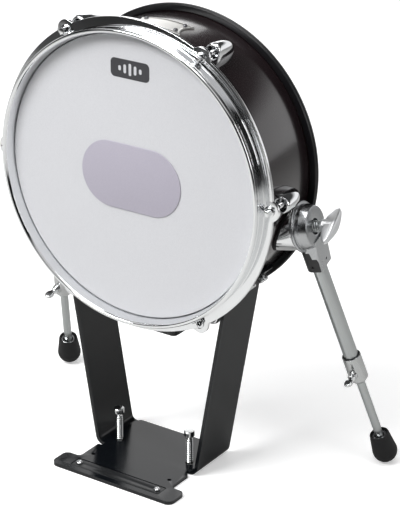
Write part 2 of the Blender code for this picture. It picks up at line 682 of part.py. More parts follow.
def socket_mesh(side):
    """The block that grips the leg, in the spur's frame: its outer face slopes inward down the leg."""
    rings = []
    for reach, outer in zip(SOCKET_REACH, (SOCKET_TOP, SOCKET_BOTTOM)):
        inner = BOSS_END + 2 * GAP
        (front, rear), (front_out, rear_out) = SOCKET_DEPTHS, outer
        corner = 2 * MM
        points = [(inner, front), (front_out - corner, front), (front_out, front + corner),
                  (rear_out, rear - corner), (rear_out - corner, rear), (inner, rear)]
        rings.append([(side * x, y, -reach) for x, y in points])
    count = len(rings[0])
    faces = [list(range(count)), list(range(count, 2 * count))]
    faces += [[i, (i + 1) % count, (i + 1) % count + count, i + count] for i in range(count)]
    return mesh_from("socket", rings[0] + rings[1], faces)


def bush_prism(side, grow, low, high):
    """The bush's stepped outline on the socket's front face, from one depth to another."""
    middle = Vector((sum(x for x, _ in BUSH_OUTLINE), sum(z for _, z in BUSH_OUTLINE))) / len(BUSH_OUTLINE)
    outline = []
    for x, reach in BUSH_OUTLINE:
        out = Vector((x, reach)) - middle
        spot = (middle + out * (1 + grow / out.length)) * MM
        outline.append((side * spot.x, -spot.y))
    mesh = prism("bush", outline, -high, -low)
    mesh.transform(Matrix.Rotation(math.radians(90), 4, "X"))
    return mesh


def build_spur_clamp(side, pivot):
    """The disc that turns on the boss, cast in one with the socket that grips the leg."""
    name = side_name(side)
    low = BOSS_END + GAP
    bore = STUD_RADIUS + 0.5 * MM
    neck = BOSS_RADIUS - GAP
    profile = [(bore, low), (DISC_FLANGE_RADIUS, low), (DISC_FLANGE_RADIUS, low + 2.6 * MM),
               (neck, low + 3.2 * MM), (neck, DISC_FACE - 8 * MM), (DISC_FACE_RADIUS, DISC_FACE),
               (WELL_RADIUS, DISC_FACE), (WELL_RADIUS, WELL_FLOOR), (bore, WELL_FLOOR)]
    clamp = add(f"spur_clamp_{name}", lathe("clamp", profile, 28, ring=True), "chrome", pivot, along_x(side))
    add_boolean(clamp, add_cutter(f"adder_socket_{name}", socket_mesh(side), pivot), "UNION")
    front, far = SOCKET_DEPTHS[0], SOCKET_REACH[1]
    leg_bore = rod("leg_bore", TUBE_RADIUS + 0.4 * MM, -far - 5 * MM, -TUBE_REACH[0] + 1 * MM)
    pocket = bush_prism(side, 0.45, front - 5 * MM, front + POCKET)
    stud_bore = rod("stud_bore", bore, -20 * MM, DISC_FACE, 16)
    well_bore = rod("well_bore", WELL_RADIUS, WELL_FLOOR, DISC_FACE + 9 * MM)
    for label, mesh, matrix in (("leg_bore", leg_bore, None), ("pocket", pocket, None),
                                ("stud_bore", stud_bore, along_x(side)), ("well", well_bore, along_x(side))):
        add_boolean(clamp, add_cutter(f"cutter_{label}_{name}", mesh, pivot, matrix), "DIFFERENCE")


def build_spur_bush(side, pivot):
    """The plastic bush: a plate flush with the socket's front face, wrapped round to its inner side."""
    name = side_name(side)
    front = SOCKET_DEPTHS[0]
    plate = bush_prism(side, 0, front, front + POCKET - GAP)
    bush = add(f"spur_bush_{name}", plate, "black_plastic", pivot)
    inner, outer = sorted(side * x for x in BUSH_WRAP)
    wrap = box("wrap", (inner, front, -SOCKET_REACH[1]), (outer, 4 * MM, -BUSH_WRAP_TOP))
    add_boolean(bush, add_cutter(f"adder_wrap_{name}", wrap, pivot), "UNION")
    edge = BUSH_WRAP[0]
    corners = [(edge, front), (20 * MM, front), (20 * MM, 20 * MM), (edge, 20 * MM)]
    rounded = [(side * x, y) for x, y in filleted(corners, [BUSH_ROUND, 0, 0, 1 * MM], 6)]
    limit = prism("limit", rounded, -60 * MM, -20 * MM)
    add_boolean(bush, add_cutter(f"cutter_round_{name}", limit, pivot), "INTERSECT")
    bore = rod("bush_bore", TUBE_RADIUS + 0.4 * MM, -60 * MM, -20 * MM)
    add_boolean(bush, add_cutter(f"cutter_bush_bore_{name}", bore, pivot), "DIFFERENCE")


def wing_mesh():
    """A butterfly about Z: four-cornered sections along X, thick at the hub and thin at the tips."""
    right = [tuple(value * MM for value in section) for section in WING_SECTIONS]
    sections = [(-x, half, low, high) for x, half, low, high in reversed(right[1:])] + right
    vertices = []
    for x, half, low, high in sections:
        vertices += [(x, -half, low), (x, half, low), (x, half, high), (x, -half, high)]
    last = len(vertices) - 4
    faces = [[0, 1, 2, 3], [last, last + 1, last + 2, last + 3]]
    for i in range(0, last, 4):
        faces += [[i + k, i + (k + 1) % 4, i + 4 + (k + 1) % 4, i + 4 + k] for k in range(4)]
    return mesh_from("wings", vertices, faces)


def build_spur_fasteners(side, pivot):
    name = side_name(side)
    hub = 6.5 * MM
    stud = [(0, STUD_ROOT), (STUD_RADIUS, STUD_ROOT), (STUD_RADIUS, HUB), (hub, HUB), (hub, HUB + 3 * MM),
            (hub - 1.1 * MM, HUB + 12 * MM), (0, HUB + 13 * MM)]
    bolt = add(f"wing_bolt_{name}", lathe("wing_bolt", stud, 18), "chrome", pivot, along_x(side))
    tilt = along_x(side) @ Matrix.Rotation(math.radians(90 + WING_TILT * side), 4, "Z")
    add_boolean(bolt, add_cutter(f"adder_wings_{name}", wing_mesh(), pivot, tilt), "UNION")
    spring = spring_mesh(6 * MM, 0.8 * MM, 4, WELL_FLOOR + GAP, HUB - GAP)
    add(f"wing_spring_{name}", spring, "satin_chrome", pivot, along_x(side))
    low, high = THUMB_HEAD
    shaft, root = 2 * MM, SPUR_ROD_RADIUS + GAP
    collar = 4.2 * MM
    seat = low - 2.5 * MM
    thumb = [(0, root), (shaft, root), (shaft, seat), (collar, seat), (collar, low), (0, low)]
    forward = Matrix.Translation((0, 0, -THUMB_REACH)) @ Matrix.Rotation(math.radians(90), 4, "X")
    screw = add(f"thumb_screw_{name}", lathe("thumb_screw", thumb, 14), "chrome", pivot, forward)
    half, waist, neck = THUMB_HALF_WIDTH, 3 * MM, 3 * MM
    right = [(waist, low - 1 * MM), (waist, low + neck), (half, low + 2 * neck), (half, high - neck)]
    right.append((waist, high))
    outline = right + [(-x, z) for x, z in reversed(right)]
    paddle = prism("paddle", outline, -1.8 * MM, 1.8 * MM)
    paddle.transform(Matrix.Rotation(math.radians(90), 4, "X"))
    add_boolean(screw, add_cutter(f"adder_thumb_{name}", paddle, pivot, forward), "UNION")


def spring_mesh(radius, wire, turns, low, high):
    """A coil about Z with flat ends, its wire centre kept inside low and high."""
    steps = 10
    around = 5
    count = turns * steps
    vertices = []
    for i in range(count + 1):
        turn = 2 * math.pi * i / steps
        centre = Vector((radius * math.cos(turn), radius * math.sin(turn), 0))
        centre.z = low + wire + (high - low - 2 * wire) * i / count
        out = Vector((math.cos(turn), math.sin(turn), 0))
        for k in range(around):
            bend = 2 * math.pi * k / around
            rise = Vector((0, 0, wire * math.sin(bend) * 0.95))
            vertices.append(centre + out * wire * math.cos(bend) + rise)
    faces = [list(range(around)), list(range(count * around, (count + 1) * around))]
    for i in range(count):
        for k in range(around):
            m = (k + 1) % around
            faces.append([i * around + k, i * around + m, (i + 1) * around + m, (i + 1) * around + k])
    return mesh_from("spring", vertices, faces)


def build_spur_leg(side, pivot):
    name = side_name(side)
    top, bottom = -TUBE_REACH[0], -TUBE_REACH[1]
    inner = TUBE_RADIUS - TUBE_WALL
    profile = [(inner, bottom), (TUBE_RADIUS, bottom), (TUBE_RADIUS, top), (inner, top)]
    tube = add(f"spur_tube_{name}", lathe("tube", profile, 18, ring=True), "satin_chrome", pivot)
    seat = TUBE_RADIUS + GAP
    rod_fit = SPUR_ROD_RADIUS + GAP
    collar_top, collar_bottom = -COLLAR_REACH[0], -COLLAR_REACH[1]
    taper = COLLAR_RADIUS - COLLAR_TAPER + 0.5 * MM
    wide = COLLAR_RADIUS
    profile = [(rod_fit, collar_bottom), (taper, collar_bottom), (wide, collar_bottom + COLLAR_TAPER),
               (wide, collar_top), (seat, collar_top), (seat, bottom - GAP), (rod_fit, bottom - GAP)]
    collar = add(f"spur_collar_{name}", lathe("collar", profile, 18, ring=True), "chrome", pivot)
    forward = Matrix.Translation((0, 0, -THUMB_REACH)) @ Matrix.Rotation(math.radians(90), 4, "X")
    tap = add_cutter(f"cutter_tap_{name}", rod("tap", 2.4 * MM, 2 * MM, 15 * MM, 12), pivot, forward)
    add_boolean(collar, tap, "DIFFERENCE")
    add_boolean(tube, tap, "DIFFERENCE")
    rod_top, rod_bottom = -ROD_REACH[0], -ROD_REACH[1]
    inner_rod = rod("spur_rod", SPUR_ROD_RADIUS, rod_bottom, rod_top, 16, 0.8 * MM)
    add(f"spur_rod_{name}", inner_rod, "satin_chrome", pivot)
    build_foot(name, pivot, rod_bottom - GAP, rod_fit)


def build_foot(name, pivot, rod_seat, rod_fit):
    """A rubber foot along the leg: a ball under a cone that ends in an open rim."""
    ball = -(PIVOT - FOOT_CENTRE).length
    rim = ball + FOOT_RIM_RISE
    cup = rim - FOOT_CUP
    outer = FOOT_RIM_RADIUS
    profile = [(0, rod_seat), (rod_fit, rod_seat), (rod_fit, cup), (outer - 2.4 * MM, cup),
               (outer - 2 * MM, rim), (outer - 0.6 * MM, rim), (outer, rim - 1.2 * MM)]
    for degrees in (12, -8, -28, -50, -72):
        turn = math.radians(degrees)
        profile.append((FOOT_RADIUS * math.cos(turn), ball + FOOT_RADIUS * math.sin(turn)))
    profile.append((0, ball - FOOT_RADIUS))
    add(f"rubber_foot_{name}", lathe("foot", profile, 18), "rubber", pivot)


def build_spurs():
    for side in (-1, 1):
        pivot = add_empty(f"spur_pivot_{side_name(side)}", spur_matrix(side))
        build_spur_mount(side, pivot)
        build_spur_clamp(side, pivot)
        build_spur_bush(side, pivot)
        build_spur_fasteners(side, pivot)
        build_spur_leg(side, pivot)


def build_sensor():
    front, rear = CUSHION_DEPTHS
    profile = [(0, front), (CUSHION_RADIUS - 4 * MM, front), (CUSHION_RADIUS, rear), (0, rear)]
    cushion = lathe("cushion", profile, 32)
    add("sensor_cushion", cushion, "foam", matrix=drum_matrix())
    plate_front = rear + GAP
    plate_rear = plate_front + PLATE_THICKNESS
    plate = rod("sensor_plate", CUSHION_RADIUS + 4 * MM, plate_front, plate_rear, 32)
    add("sensor_plate", plate, "aluminium", matrix=drum_matrix())
    add("piezo_disc", rod("piezo_disc", 13.5 * MM, plate_rear + GAP, plate_rear + 1 * MM, 18), "brass",
        matrix=drum_matrix())
    bar_front, bar_rear = BRACKET_DEPTHS
    half = SHELL_RADIUS - SHELL_WALL - 4 * MM
    bar = box("bar", (-half, -12 * MM, bar_front), (half, 12 * MM, bar_rear))
    bracket = add("sensor_bracket", bar, "aluminium", matrix=drum_matrix())
    posts = []
    for side in (-1, 1):
        post = rod("post", 5 * MM, plate_rear + GAP, bar_front + 2 * MM, 14)
        posts.append((post, Matrix.Translation((side * 40 * MM, 0, 0))))
    adder = add_cutter("adder_bracket_posts", joined("bracket_posts", posts), matrix=drum_matrix())
    add_boolean(bracket, adder, "UNION")


def build_electrics():
    half = JACK_BOX_HALF_WIDTH
    front, rear = JACK_BOX_DEPTHS
    wall = JACK_BOX_WALL
    corners = [(-half, front), (half, front), (half, rear), (-half, rear)]
    outline = filleted(corners, [5 * MM] * 4, steps=3)
    roof = AXIS_HEIGHT - SHELL_RADIUS + 14 * MM
    case = add("jack_box", prism("jack_box", outline, JACK_BOX_FLOOR, roof), "black_plastic")
    hollow = box("hollow", (-half + wall, front + wall, JACK_BOX_FLOOR + wall),
                 (half - wall, rear - wall, roof + 10 * MM))
    add_boolean(case, add_cutter("cutter_jack_hollow", hollow), "DIFFERENCE")
    shell_space = rod("shell_space", SHELL_RADIUS + GAP, -20 * MM, 140 * MM, RING_STEPS)
    add_boolean(case, add_cutter("cutter_jack_roof", shell_space, matrix=drum_matrix()), "DIFFERENCE")
    rearward = Matrix.Rotation(math.radians(-90), 4, "X")
    jack_place = Matrix.Translation((0, rear, JACK_BOX_FLOOR + JACK_RISE)) @ rearward
    window = rod("window", 5.6 * MM, -8 * MM, 8 * MM, 16)
    add_boolean(case, add_cutter("cutter_jack_window", window, matrix=jack_place), "DIFFERENCE")
    profile = [(0, -18 * MM), (5.2 * MM, -18 * MM), (5.2 * MM, GAP), (7.5 * MM, GAP), (7.5 * MM, 3 * MM),
               (JACK_RADIUS, 3 * MM), (JACK_RADIUS, -14 * MM), (0, -14 * MM)]
    add("output_jack", lathe("output_jack", profile, 20), "chrome", matrix=jack_place)
    build_cable()


def build_cable():
    """From behind the piezo, down inside the shell and through its floor into the jack box."""
    start = Vector((0, 19.5 * MM, AXIS_HEIGHT - 3 * MM))
    end = Vector((0, 50 * MM, JACK_BOX_FLOOR + JACK_RISE + 4 * MM))
    middle = Vector((0, 19.5 * MM, AXIS_HEIGHT - 70 * MM))
    lower = Vector((0, 50 * MM, JACK_BOX_FLOOR + 70 * MM))
    steps = 16
    around = 8
    vertices = []
    for i in range(steps + 1):
        t = i / steps
        u = 1 - t
        spot = start * u ** 3 + middle * 3 * t * u ** 2 + lower * 3 * t ** 2 * u + end * t ** 3
        slope = (middle - start) * u ** 2 + (lower - middle) * 2 * t * u + (end - lower) * t ** 2
        across = Vector((1, 0, 0))
        other = slope.normalized().cross(across)
        for k in range(around):
            turn = 2 * math.pi * k / around
            vertices.append(spot + (across * math.cos(turn) + other * math.sin(turn)) * CABLE_RADIUS)
    faces = [list(range(around)), list(range(steps * around, (steps + 1) * around))]
    for i in range(steps):
        for k in range(around):
            m = (k + 1) % around
            faces.append([i * around + k, i * around + m, (i + 1) * around + m, (i + 1) * around + k])
    add("sensor_cable", mesh_from("sensor_cable", vertices, faces), "rubber")


def main():
    clear_scene()
    build_shell()
    build_back()
    build_batter_hoop()
    build_head()
    build_lugs_and_rods()
    build_badge()
    build_stand()
    build_anchor_bolts()
    build_spurs()
    build_sensor()
    build_electrics()


main()
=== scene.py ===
"""Looks for the electronic bass drum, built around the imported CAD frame.

Metres, in the CAD's frame: the mesh head faces -Y and the drum's axis is parallel to Y. Places come from the
frame's boxes and joints; the constants below shape the fine surfaces inside those solids.
"""

import json
import math

import bmesh
import bpy
from mathutils import Matrix, Vector


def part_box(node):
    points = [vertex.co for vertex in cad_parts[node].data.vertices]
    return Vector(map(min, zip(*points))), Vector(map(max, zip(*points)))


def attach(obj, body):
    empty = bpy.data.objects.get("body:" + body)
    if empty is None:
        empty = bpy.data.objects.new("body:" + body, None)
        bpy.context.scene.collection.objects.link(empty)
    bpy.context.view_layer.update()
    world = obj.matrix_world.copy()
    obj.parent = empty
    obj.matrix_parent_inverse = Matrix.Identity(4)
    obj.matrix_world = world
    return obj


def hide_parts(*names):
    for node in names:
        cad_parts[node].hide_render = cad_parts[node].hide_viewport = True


MM = 0.001
RING_STEPS = 288  # facets round the drum
ROUND_STEPS = 48  # facets round a small turned piece
SIDES = {"left": -1, "right": 1}

# Drum, in radii from its axis and depths along Y
SHELL_WALL = 6 * MM
HEAD_SKIN = 0.5 * MM
HEAD_COLLAR = 7 * MM
HOOP_FRONT = -15.3 * MM
HOOP_WALL = 159.5 * MM
FLANGE_RADIUS = 170 * MM
FLANGE_DEPTHS = (1 * MM, 4.2 * MM)
EAR_RADIUS = 11 * MM
ROD_CIRCLE = 166 * MM
ROD_RADIUS = 2.8 * MM
PATCH_SIZE = (125 * MM, 73 * MM)
LUG_FRONT = 22 * MM
LUG_LENGTH = 42 * MM
LUG_HALF_WIDTH = 11 * MM
LUG_HEIGHT = 23.5 * MM
LUG_MOUTH = 7.4 * MM

# Stand
SHEET = 4 * MM
ARM_FOOT_X = 67 * MM
ARM_LEAN = math.atan(0.171)
ARM_DEPTHS = (20 * MM, 84 * MM)
TAB_ANGLE = math.radians(-45)
TAB_LENGTH = 15 * MM
BOLT_DEPTHS = (52 * MM, 76 * MM)
BASE_REAR = 87 * MM
TONGUE_HALF_WIDTH = 61 * MM
TONGUE_REAR = 14 * MM
BAR_HALF_LENGTH = 80 * MM
BAR_DEPTHS = (-48 * MM, -20 * MM)
RECESS_HALF_LENGTH = 59 * MM
RECESS_DEPTHS = (-41 * MM, -24 * MM)
RECESS_FLOOR = 2.2 * MM
ANCHOR_PLACE = (47.5 * MM, 35.5 * MM)
ANCHOR_RADIUS = 4 * MM
ANCHOR_TOP = 44 * MM
ANCHOR_PITCH = 2.6 * MM

# Spurs: depths along the fold axis are positive outward from the pivot; reaches are distances down the leg
BOSS_RADIUS = 24.3 * MM
BOSS_ROOT = -40 * MM
BOSS_END = -3.6 * MM
DISC_FLANGE_RADIUS = 27.2 * MM
DISC_FACE_RADIUS = 21.4 * MM
DISC_FACE = 12 * MM
WELL_RADIUS = 8.5 * MM
WELL_FLOOR = 5.1 * MM
STUD_RADIUS = 3.5 * MM
STUD_ROOT = -12 * MM
HUB = 19.5 * MM
WING_TILT = 8  # degrees, front wing down
WING_HALF_SPAN = 26 * MM
WING_EDGES = (21.5 * MM, 36.2 * MM)  # near and far edge at the hub, along the fold axis
WING_RISE = (8 * MM, -4.2 * MM)  # how far each edge moves out by the tip
WING_HALF_THICKNESS = 6.4 * MM
TUBE_RADIUS = 8 * MM
TUBE_WALL = 2.3 * MM
TUBE_REACH = (27 * MM, 196 * MM)
SOCKET_REACH = (12 * MM, 49.5 * MM)
SOCKET_DEPTHS = (-13 * MM, 12.5 * MM)
SOCKET_TOP = (13.1 * MM, 14.8 * MM)
SOCKET_BOTTOM = (8.5 * MM, 10 * MM)
POCKET = 2.6 * MM
BUSH_WRAP = (-9.9 * MM, -3.6 * MM)
BUSH_WRAP_TOP = 25.2 * MM
BUSH_ROUND = 7.5 * MM
BUSH_OUTLINE = (  # mm along the fold axis and down the leg
    (-9.9, 25.7), (1.7, 25.7), (2.7, 33.7), (7.6, 33.1), (8.9, 36.5), (8.3, 49.5), (-9.9, 49.5),
)
COLLAR_RADIUS = 10.3 * MM
COLLAR_REACH = (170 * MM, 205.5 * MM)
COLLAR_TAPER = 4.7 * MM
ROD_REACH = (115 * MM, 299 * MM)
SPUR_ROD_RADIUS = 4.7 * MM
THUMB_REACH = 190 * MM
THUMB_HEAD = (15.5 * MM, 28.5 * MM)
THUMB_HALF_WIDTH = 4.5 * MM
FOOT_RADIUS = 13.9 * MM
FOOT_RIM_RADIUS = 11 * MM
FOOT_RIM_RISE = 24 * MM
FOOT_CUP = 3.5 * MM
FOOT_REACH = 304.6 * MM
GAP = 0.3 * MM

# Studio
FLOOR_GLOW = 0.4
FLOOR_PAINTED_SHADE_FADE = (-1.6, -0.9)  # metres along Y over which the floor's painted shade, seen only in reflections, goes from dark to pale
# Brightness of the surroundings against height, from straight down (0) to straight up (1)
FRONT_SKY = ((0.0, 0.05), (0.45, 0.02), (0.5, 0.01), (0.78, 0.015), (0.83, 0.6), (0.93, 0.6), (1.0, 0.15))
REAR_SKY = ((0.0, 0.5), (0.46, 0.8), (0.5, 1.0), (0.64, 0.95), (0.72, 0.05), (0.94, 0.04), (1.0, 0.15))
LIGHTS = {  # place, width and height in metres, power in watts
    "key": ((-0.9, -1.7, 2.3), (1.7, 0.9), 80),
    "side": ((2.3, -0.3, 1.2), (0.5, 1.2), 8),
    "top": ((0.1, -0.25, 2.5), (1.6, 1.2), 22),
    "back": ((-1.5, 2.1, 1.3), (1.3, 1.0), 5),
}

# Camera
CAMERA_AZIMUTH = math.radians(33.807)
CAMERA_ELEVATION = math.radians(23.243)
CAMERA_ROLL = math.radians(0.309)
CAMERA_PLACE = Vector((1.12280, -1.54334, 1.07447))
CAMERA_LENS = 140.145
CAMERA_SHIFT = (-4.135 / 509, -0.894 / 509)

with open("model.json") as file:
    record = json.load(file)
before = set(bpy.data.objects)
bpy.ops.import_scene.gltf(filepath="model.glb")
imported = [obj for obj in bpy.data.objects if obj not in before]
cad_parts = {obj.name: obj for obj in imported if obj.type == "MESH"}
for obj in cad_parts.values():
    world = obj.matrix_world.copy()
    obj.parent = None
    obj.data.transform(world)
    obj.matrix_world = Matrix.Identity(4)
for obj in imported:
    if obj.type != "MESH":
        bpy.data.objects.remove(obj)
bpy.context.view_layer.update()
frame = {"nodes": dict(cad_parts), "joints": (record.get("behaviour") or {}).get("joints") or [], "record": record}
RECORD = frame["record"]
JOINTS = {joint["name"]: joint for joint in frame["joints"]}
BODY_OF = {node: body for body, nodes in RECORD["behaviour"]["bodies"].items() for node in nodes}

shell_low, shell_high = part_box("shell")
AXIS_HEIGHT = (shell_low.z + shell_high.z) / 2
SHELL_RADIUS = (shell_high.x - shell_low.x) / 2
SHELL_FRONT = shell_low.y
SHELL_REAR = shell_high.y


# ---------------------------------------------------------------- shapes


def mesh_from(name, vertices, faces):
    mesh = bpy.data.meshes.new(name)
    bm = bmesh.new()
    made = [bm.verts.new(point) for point in vertices]
    for face in faces:
        bm.faces.new([made[i] for i in face])
    bmesh.ops.recalc_face_normals(bm, faces=bm.faces)
    bm.to_mesh(mesh)
    bm.free()
    return mesh


def add(name, mesh, matrix=None, smooth_angle=35):
    obj = bpy.data.objects.new(name, mesh)
    bpy.context.scene.collection.objects.link(obj)
    obj.matrix_world = matrix or Matrix.Identity(4)
    mesh.shade_smooth()
    mesh.set_sharp_from_angle(angle=math.radians(smooth_angle))
    return obj


def loft(name, rings, loop=False, capped=True):
    """Skins a row of rings that all have the same number of points. A loop joins the last ring to the first."""
    count = len(rings[0])
    vertices = [point for ring in rings for point in ring]
    faces = []
    for i in range(len(rings) if loop else len(rings) - 1):
        j = (i + 1) % len(rings)
        for k in range(count):
            m = (k + 1) % count
            faces.append([i * count + k, i * count + m, j * count + m, j * count + k])
    if capped and not loop:
        faces.append(list(range(count)))
        faces.append(list(range((len(rings) - 1) * count, len(rings) * count)))
    return mesh_from(name, vertices, faces)


def soften(points, radius, steps=4, closed=True):
    """Rounds the corners of a 2D outline. Each radius is cut down to what its two edges have room for."""
    points = [Vector(point) for point in points]
    count = len(points)
    radii = radius if isinstance(radius, (list, tuple)) else [radius] * count
    made = []
    for i, corner in enumerate(points):
        if radii[i] == 0 or (not closed and i in (0, count - 1)):
            made.append(corner.copy())
            continue
        before = points[i - 1] - corner
        after = points[(i + 1) % count] - corner
        half = before.angle(after) / 2
        if half > math.radians(88):
            made.append(corner.copy())
            continue
        room = 0.48 * min(before.length, after.length)
        reach = min(radii[i] / math.tan(half), room)
        size = reach * math.tan(half)
        centre = corner + (before.normalized() + after.normalized()).normalized() * size / math.sin(half)
        start = corner + before.normalized() * reach - centre
        end = corner + after.normalized() * reach - centre
        sweep = start.angle_signed(end)
        made += [centre + Matrix.Rotation(-sweep * k / steps, 2) @ start for k in range(steps + 1)]
    return made


def lathe(name, profile, steps=ROUND_STEPS, ring=False):
    """Turns (radius, height) points about Z. A ring's profile closes on itself; otherwise it starts and ends on the axis."""
    vertices, rows = [], []
    for radius, height in profile:
        if radius < 1e-7:
            rows.append([len(vertices)])
            vertices.append((0, 0, height))
            continue
        rows.append(list(range(len(vertices), len(vertices) + steps)))
        for i in range(steps):
            turn = 2 * math.pi * i / steps
            vertices.append((radius * math.cos(turn), radius * math.sin(turn), height))
    faces = []
    pairs = list(zip(rows, rows[1:])) + ([(rows[-1], rows[0])] if ring else [])
    for low, high in pairs:
        for i in range(steps):
            j = (i + 1) % steps
            corners = [low[i % len(low)], low[j % len(low)], high[j % len(high)], high[i % len(high)]]
            faces.append(list(dict.fromkeys(corners)))
    return mesh_from(name, vertices, faces)


def turned(name, profile, radius=0.4 * MM, steps=ROUND_STEPS, ring=False, rounding=3):
    """A lathed shape with every corner of its profile rounded."""
    return lathe(name, soften(profile, radius, rounding, closed=ring), steps, ring)


def rod(name, radius, low, high, edge=0.3 * MM, steps=ROUND_STEPS):
    return turned(name, [(0, low), (radius, low), (radius, high), (0, high)], edge, steps)


def prism(name, outline, low, high):
    count = len(outline)
    vertices = [(x, y, low) for x, y in outline] + [(x, y, high) for x, y in outline]
    faces = [list(range(count)), list(range(count, 2 * count))]
    faces += [[i, (i + 1) % count, (i + 1) % count + count, i + count] for i in range(count)]
    return mesh_from(name, vertices, faces)


def box(name, low, high):
    outline = [(low[0], low[1]), (high[0], low[1]), (high[0], high[1]), (low[0], high[1])]
    return prism(name, outline, low[2], high[2])


def bake(obj):
    """Applies an object's modifiers, and keeps the result as its own mesh."""
    bpy.context.view_layer.update()
    graph = bpy.context.evaluated_depsgraph_get()
    mesh = bpy.data.meshes.new_from_object(obj.evaluated_get(graph))
    obj.modifiers.clear()
    obj.data = mesh
    return obj


def carve(obj, operation, *tools):
    """Applies Booleans with (mesh, matrix) tools, then deletes the tools."""
    made = []
    for i, (mesh, matrix) in enumerate(tools):
        tool = bpy.data.objects.new(f"{obj.name}_tool", mesh)
        bpy.context.scene.collection.objects.link(tool)
        tool.matrix_world = matrix
        made.append(tool)
        modifier = obj.modifiers.new(f"tool_{i}", "BOOLEAN")
        modifier.object = tool
        modifier.operation = operation
        modifier.solver = "EXACT"
    bake(obj)
    for tool in made:
        bpy.data.objects.remove(tool)
    return obj


def bevel(obj, width, segments=2, angle=40, smooth_angle=35):
    modifier = obj.modifiers.new("edges", "BEVEL")
    modifier.width = width
    modifier.segments = segments
    modifier.limit_method = "ANGLE"
    modifier.angle_limit = math.radians(angle)
    modifier.miter_outer = "MITER_ARC"
    modifier.use_clamp_overlap = True
    bake(obj)
    obj.data.shade_smooth()
    obj.data.set_sharp_from_angle(angle=math.radians(smooth_angle))
    return obj


def thread(name, root, crest, pitch, low, high, steps=24, lead_in=3 * MM, tip=0.0):
    """A threaded shaft along Z: a helix of V grooves that fade out at both ends, with closed round ends."""
    per_pitch = 8
    count = int((high - low) / pitch * per_pitch)
    rings = []
    for i in range(count + 1):
        height = low + (high - low) * i / count
        fade = min(1.0, (height - low) / lead_in, (high - height) / lead_in)
        taper = 1 - (1 - tip) * (1 - min(1, (height - low) / lead_in)) if tip else 1
        ring = []
        for k in range(steps):
            turn = 2 * math.pi * k / steps
            phase = ((height - low) / pitch - k / steps) % 1
            wave = 1 - abs(2 * phase - 1)
            radius = (root + (crest - root) * wave * max(fade, 0)) * taper
            ring.append((radius * math.cos(turn), radius * math.sin(turn), height))
        rings.append(ring)
    return loft(name, rings)


def coil(name, radius, wire, turns, low, high, steps=20, around=10):
    rings = []
    for i in range(int(turns * steps) + 1):
        turn = 2 * math.pi * i / steps
        out = Vector((math.cos(turn), math.sin(turn), 0))
        centre = out * radius + Vector((0, 0, low + wire + (high - low - 2 * wire) * i / (turns * steps)))
        ring = []
        for k in range(around):
            bend = 2 * math.pi * k / around
            ring.append(centre + out * wire * math.cos(bend) + Vector((0, 0, wire * math.sin(bend))))
        rings.append(ring)
    return loft(name, rings)


# ---------------------------------------------------------------- places


def drum_matrix():
    """Local Z runs rearward along the drum's axis."""
    return Matrix.Translation((0, 0, AXIS_HEIGHT)) @ Matrix.Rotation(math.radians(-90), 4, "X")


def station(angle, radius, depth):
    """On the drum's side: local Z outward, local Y rearward."""
    out = Vector((math.cos(angle), 0, math.sin(angle)))
    rear = Vector((0, 1, 0))
    turn = Matrix((rear.cross(out), rear, out)).transposed().to_4x4()
    return Matrix.Translation(Vector((0, depth, AXIS_HEIGHT)) + out * radius) @ turn


def rod_matrix(number):
    """Local Z rearward along a tension rod, local X away from the drum's axis."""
    place = Vector(JOINTS[f"tension_rod_turn_{number}"]["pos_m"])
    out = (place - Vector((0, 0, AXIS_HEIGHT))).normalized()
    rear = Vector((0, 1, 0))
    return Matrix.Translation(place) @ Matrix((out, rear.cross(out), rear)).transposed().to_4x4()


def spur_matrix(side):
    """Local Z up the leg, local X along the fold axis (outward on the right), origin at the pivot."""
    fold = JOINTS[f"spur_fold_{side}"]
    across = Vector(fold["axis"]).normalized()
    up = -Vector(JOINTS[f"leg_slide_{side}"]["axis"]).normalized()
    turn = Matrix((across, up.cross(across), up)).transposed().to_4x4()
    return Matrix.Translation(fold["pos_m"]) @ turn


def outward(side, reach=0.0):
    """In a spur's frame: turns local Z outward along the fold axis, at a distance down the leg."""
    return Matrix.Translation((0, 0, -reach)) @ Matrix.Rotation(math.radians(90 * SIDES[side]), 4, "Y")


def show(obj, material, *nodes):
    """Puts the piece on its node's body, and hides the node it stands for."""
    obj.data.materials.clear()
    obj.data.materials.append(material)
    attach(obj, BODY_OF[nodes[0]])
    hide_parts(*nodes)
    return obj


# ---------------------------------------------------------------- materials


